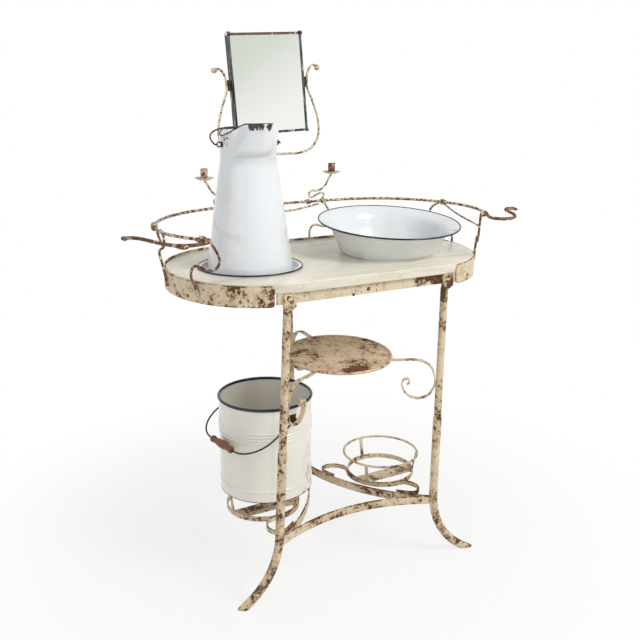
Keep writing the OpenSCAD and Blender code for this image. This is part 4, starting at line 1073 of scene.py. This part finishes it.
class WASHSTAND_OT_stage(Piece, bpy.types.Operator):
    """Sets the pale floor, the soft lamps and the camera"""
    bl_idname = "washstand.stage"
    bl_label = "Stage"

    def build(self):
        scene = bpy.context.scene
        self.floor(scene)
        scene.world = self.studio()
        self.lamps(scene)
        scene.camera = self.camera()
        scene.collection.objects.link(scene.camera)
        scene.view_settings.view_transform = "Standard"

    def floor(self, scene):
        bm = bmesh.new()
        bmesh.ops.create_circle(bm, cap_ends=True, radius=9, segments=96)
        mesh = bpy.data.meshes.new("floor")
        bm.to_mesh(mesh)
        bm.free()
        mesh.materials.append(self.floor_material())
        floor = bpy.data.objects.new("floor", mesh)
        scene.collection.objects.link(floor)

    def floor_material(self):
        """Matt for the light it throws back; to the camera it turns plain white further out."""
        material, node, place = new_material("plain_pale_floor")
        away = node("VectorMath", {0: place}, operation="LENGTH").outputs["Value"]
        far = node("MapRange", {0: away, 1: 0.35, 2: 1.15}, **SMOOTH)
        far = node("Math", {0: far, 1: 0.25, 2: 0.75}, operation="MULTIPLY_ADD")
        path = node("LightPath").outputs
        seen = node("Math", {0: path["Is Camera Ray"], 1: path["Is Glossy Ray"]},
                    operation="MAXIMUM")
        share = node("Math", {0: seen, 1: far}, operation="MULTIPLY")
        matt = node("BsdfDiffuse", {"Color": colours().floor})
        plain = node("Emission", {"Color": WHITE, "Strength": 1.0})
        node("OutputMaterial", {"Surface": node("MixShader", {0: share, 1: matt, 2: plain})})
        return material

    def studio(self):
        """A white world that lights the stand with less than the camera sees of it."""
        world = bpy.data.worlds.new("studio")
        world.use_nodes = True
        node = emptied(world.node_tree)
        path = node("LightPath").outputs
        seen = node("Math", {0: path["Is Glossy Ray"], 1: path["Is Transmission Ray"]},
                    operation="MAXIMUM")
        seen = node("Math", {0: path["Is Camera Ray"], 1: seen}, operation="MAXIMUM")
        strength = node("Math", {0: seen, 1: 0.52, 2: 0.48}, operation="MULTIPLY_ADD")
        node("OutputWorld", {"Surface": node("Background", {"Color": WHITE,
                                                            "Strength": strength})})
        return world

    def lamps(self, scene):
        for name, place, watts, size in (("key", (1.3, -2.3, 2.9), 66, 1.3),
                                         ("fill", (-2.2, -0.9, 1.7), 10, 2.0)):
            lamp = bpy.data.lights.new(name, "AREA")
            lamp.energy = watts
            lamp.shape = "SQUARE"
            lamp.size = size
            obj = bpy.data.objects.new(name, lamp)
            obj.location = place
            aim = Vector((0, 0, 0.6)) - Vector(place)
            obj.rotation_euler = aim.to_track_quat("-Z", "Y").to_euler()
            scene.collection.objects.link(obj)

    def camera(self):
        """The camera of the photo, as fitted to it."""
        camera = bpy.data.cameras.new("camera")
        camera.lens = 46.1
        camera.sensor_width = 36
        view = bpy.data.objects.new("camera", camera)
        right = Vector((0.87451196, -0.48498235, 0.00457625))
        up = Vector((0.12846898, 0.24073093, 0.96205215))
        back = Vector((-0.46767996, -0.84073821, 0.27282727))
        turn = Matrix((right, up, back)).transposed()
        view.matrix_world = Matrix.Translation((-0.9563, -1.742466, 1.1755)) @ turn.to_4x4()
        return view


PIECES = (WASHSTAND_OT_slab, WASHSTAND_OT_band, WASHSTAND_OT_legs, WASHSTAND_OT_shelf,
          WASHSTAND_OT_holders, WASHSTAND_OT_gallery, WASHSTAND_OT_candles,
          WASHSTAND_OT_mirror, WASHSTAND_OT_washing, WASHSTAND_OT_pail, WASHSTAND_OT_stage)


class WASHSTAND_PT_panel(bpy.types.Panel):
    """Lists the sizes, the colours and the pieces of the washstand"""
    bl_idname = "WASHSTAND_PT_panel"
    bl_label = "Washstand"
    bl_space_type = "VIEW_3D"
    bl_region_type = "UI"
    bl_category = "Washstand"

    def draw(self, context):
        for group in (context.scene.washstand_sizes, context.scene.washstand_colours):
            for name in group.__annotations__:
                self.layout.prop(group, name)
        for operator in PIECES:
            self.layout.operator(operator.bl_idname)


CLASSES = (WashstandSizes, WashstandColours, *PIECES, WASHSTAND_PT_panel)


def register():
    for cls in CLASSES:
        bpy.utils.register_class(cls)
    bpy.types.Scene.washstand_sizes = bpy.props.PointerProperty(type=WashstandSizes)
    bpy.types.Scene.washstand_colours = bpy.props.PointerProperty(type=WashstandColours)


def unregister():
    del bpy.types.Scene.washstand_colours
    del bpy.types.Scene.washstand_sizes
    for cls in reversed(CLASSES):
        bpy.utils.unregister_class(cls)


def main():
    register()
    for operator in PIECES:
        group, name = operator.bl_idname.split(".")
        getattr(getattr(bpy.ops, group), name)()


if __name__ == "__main__":
    main()
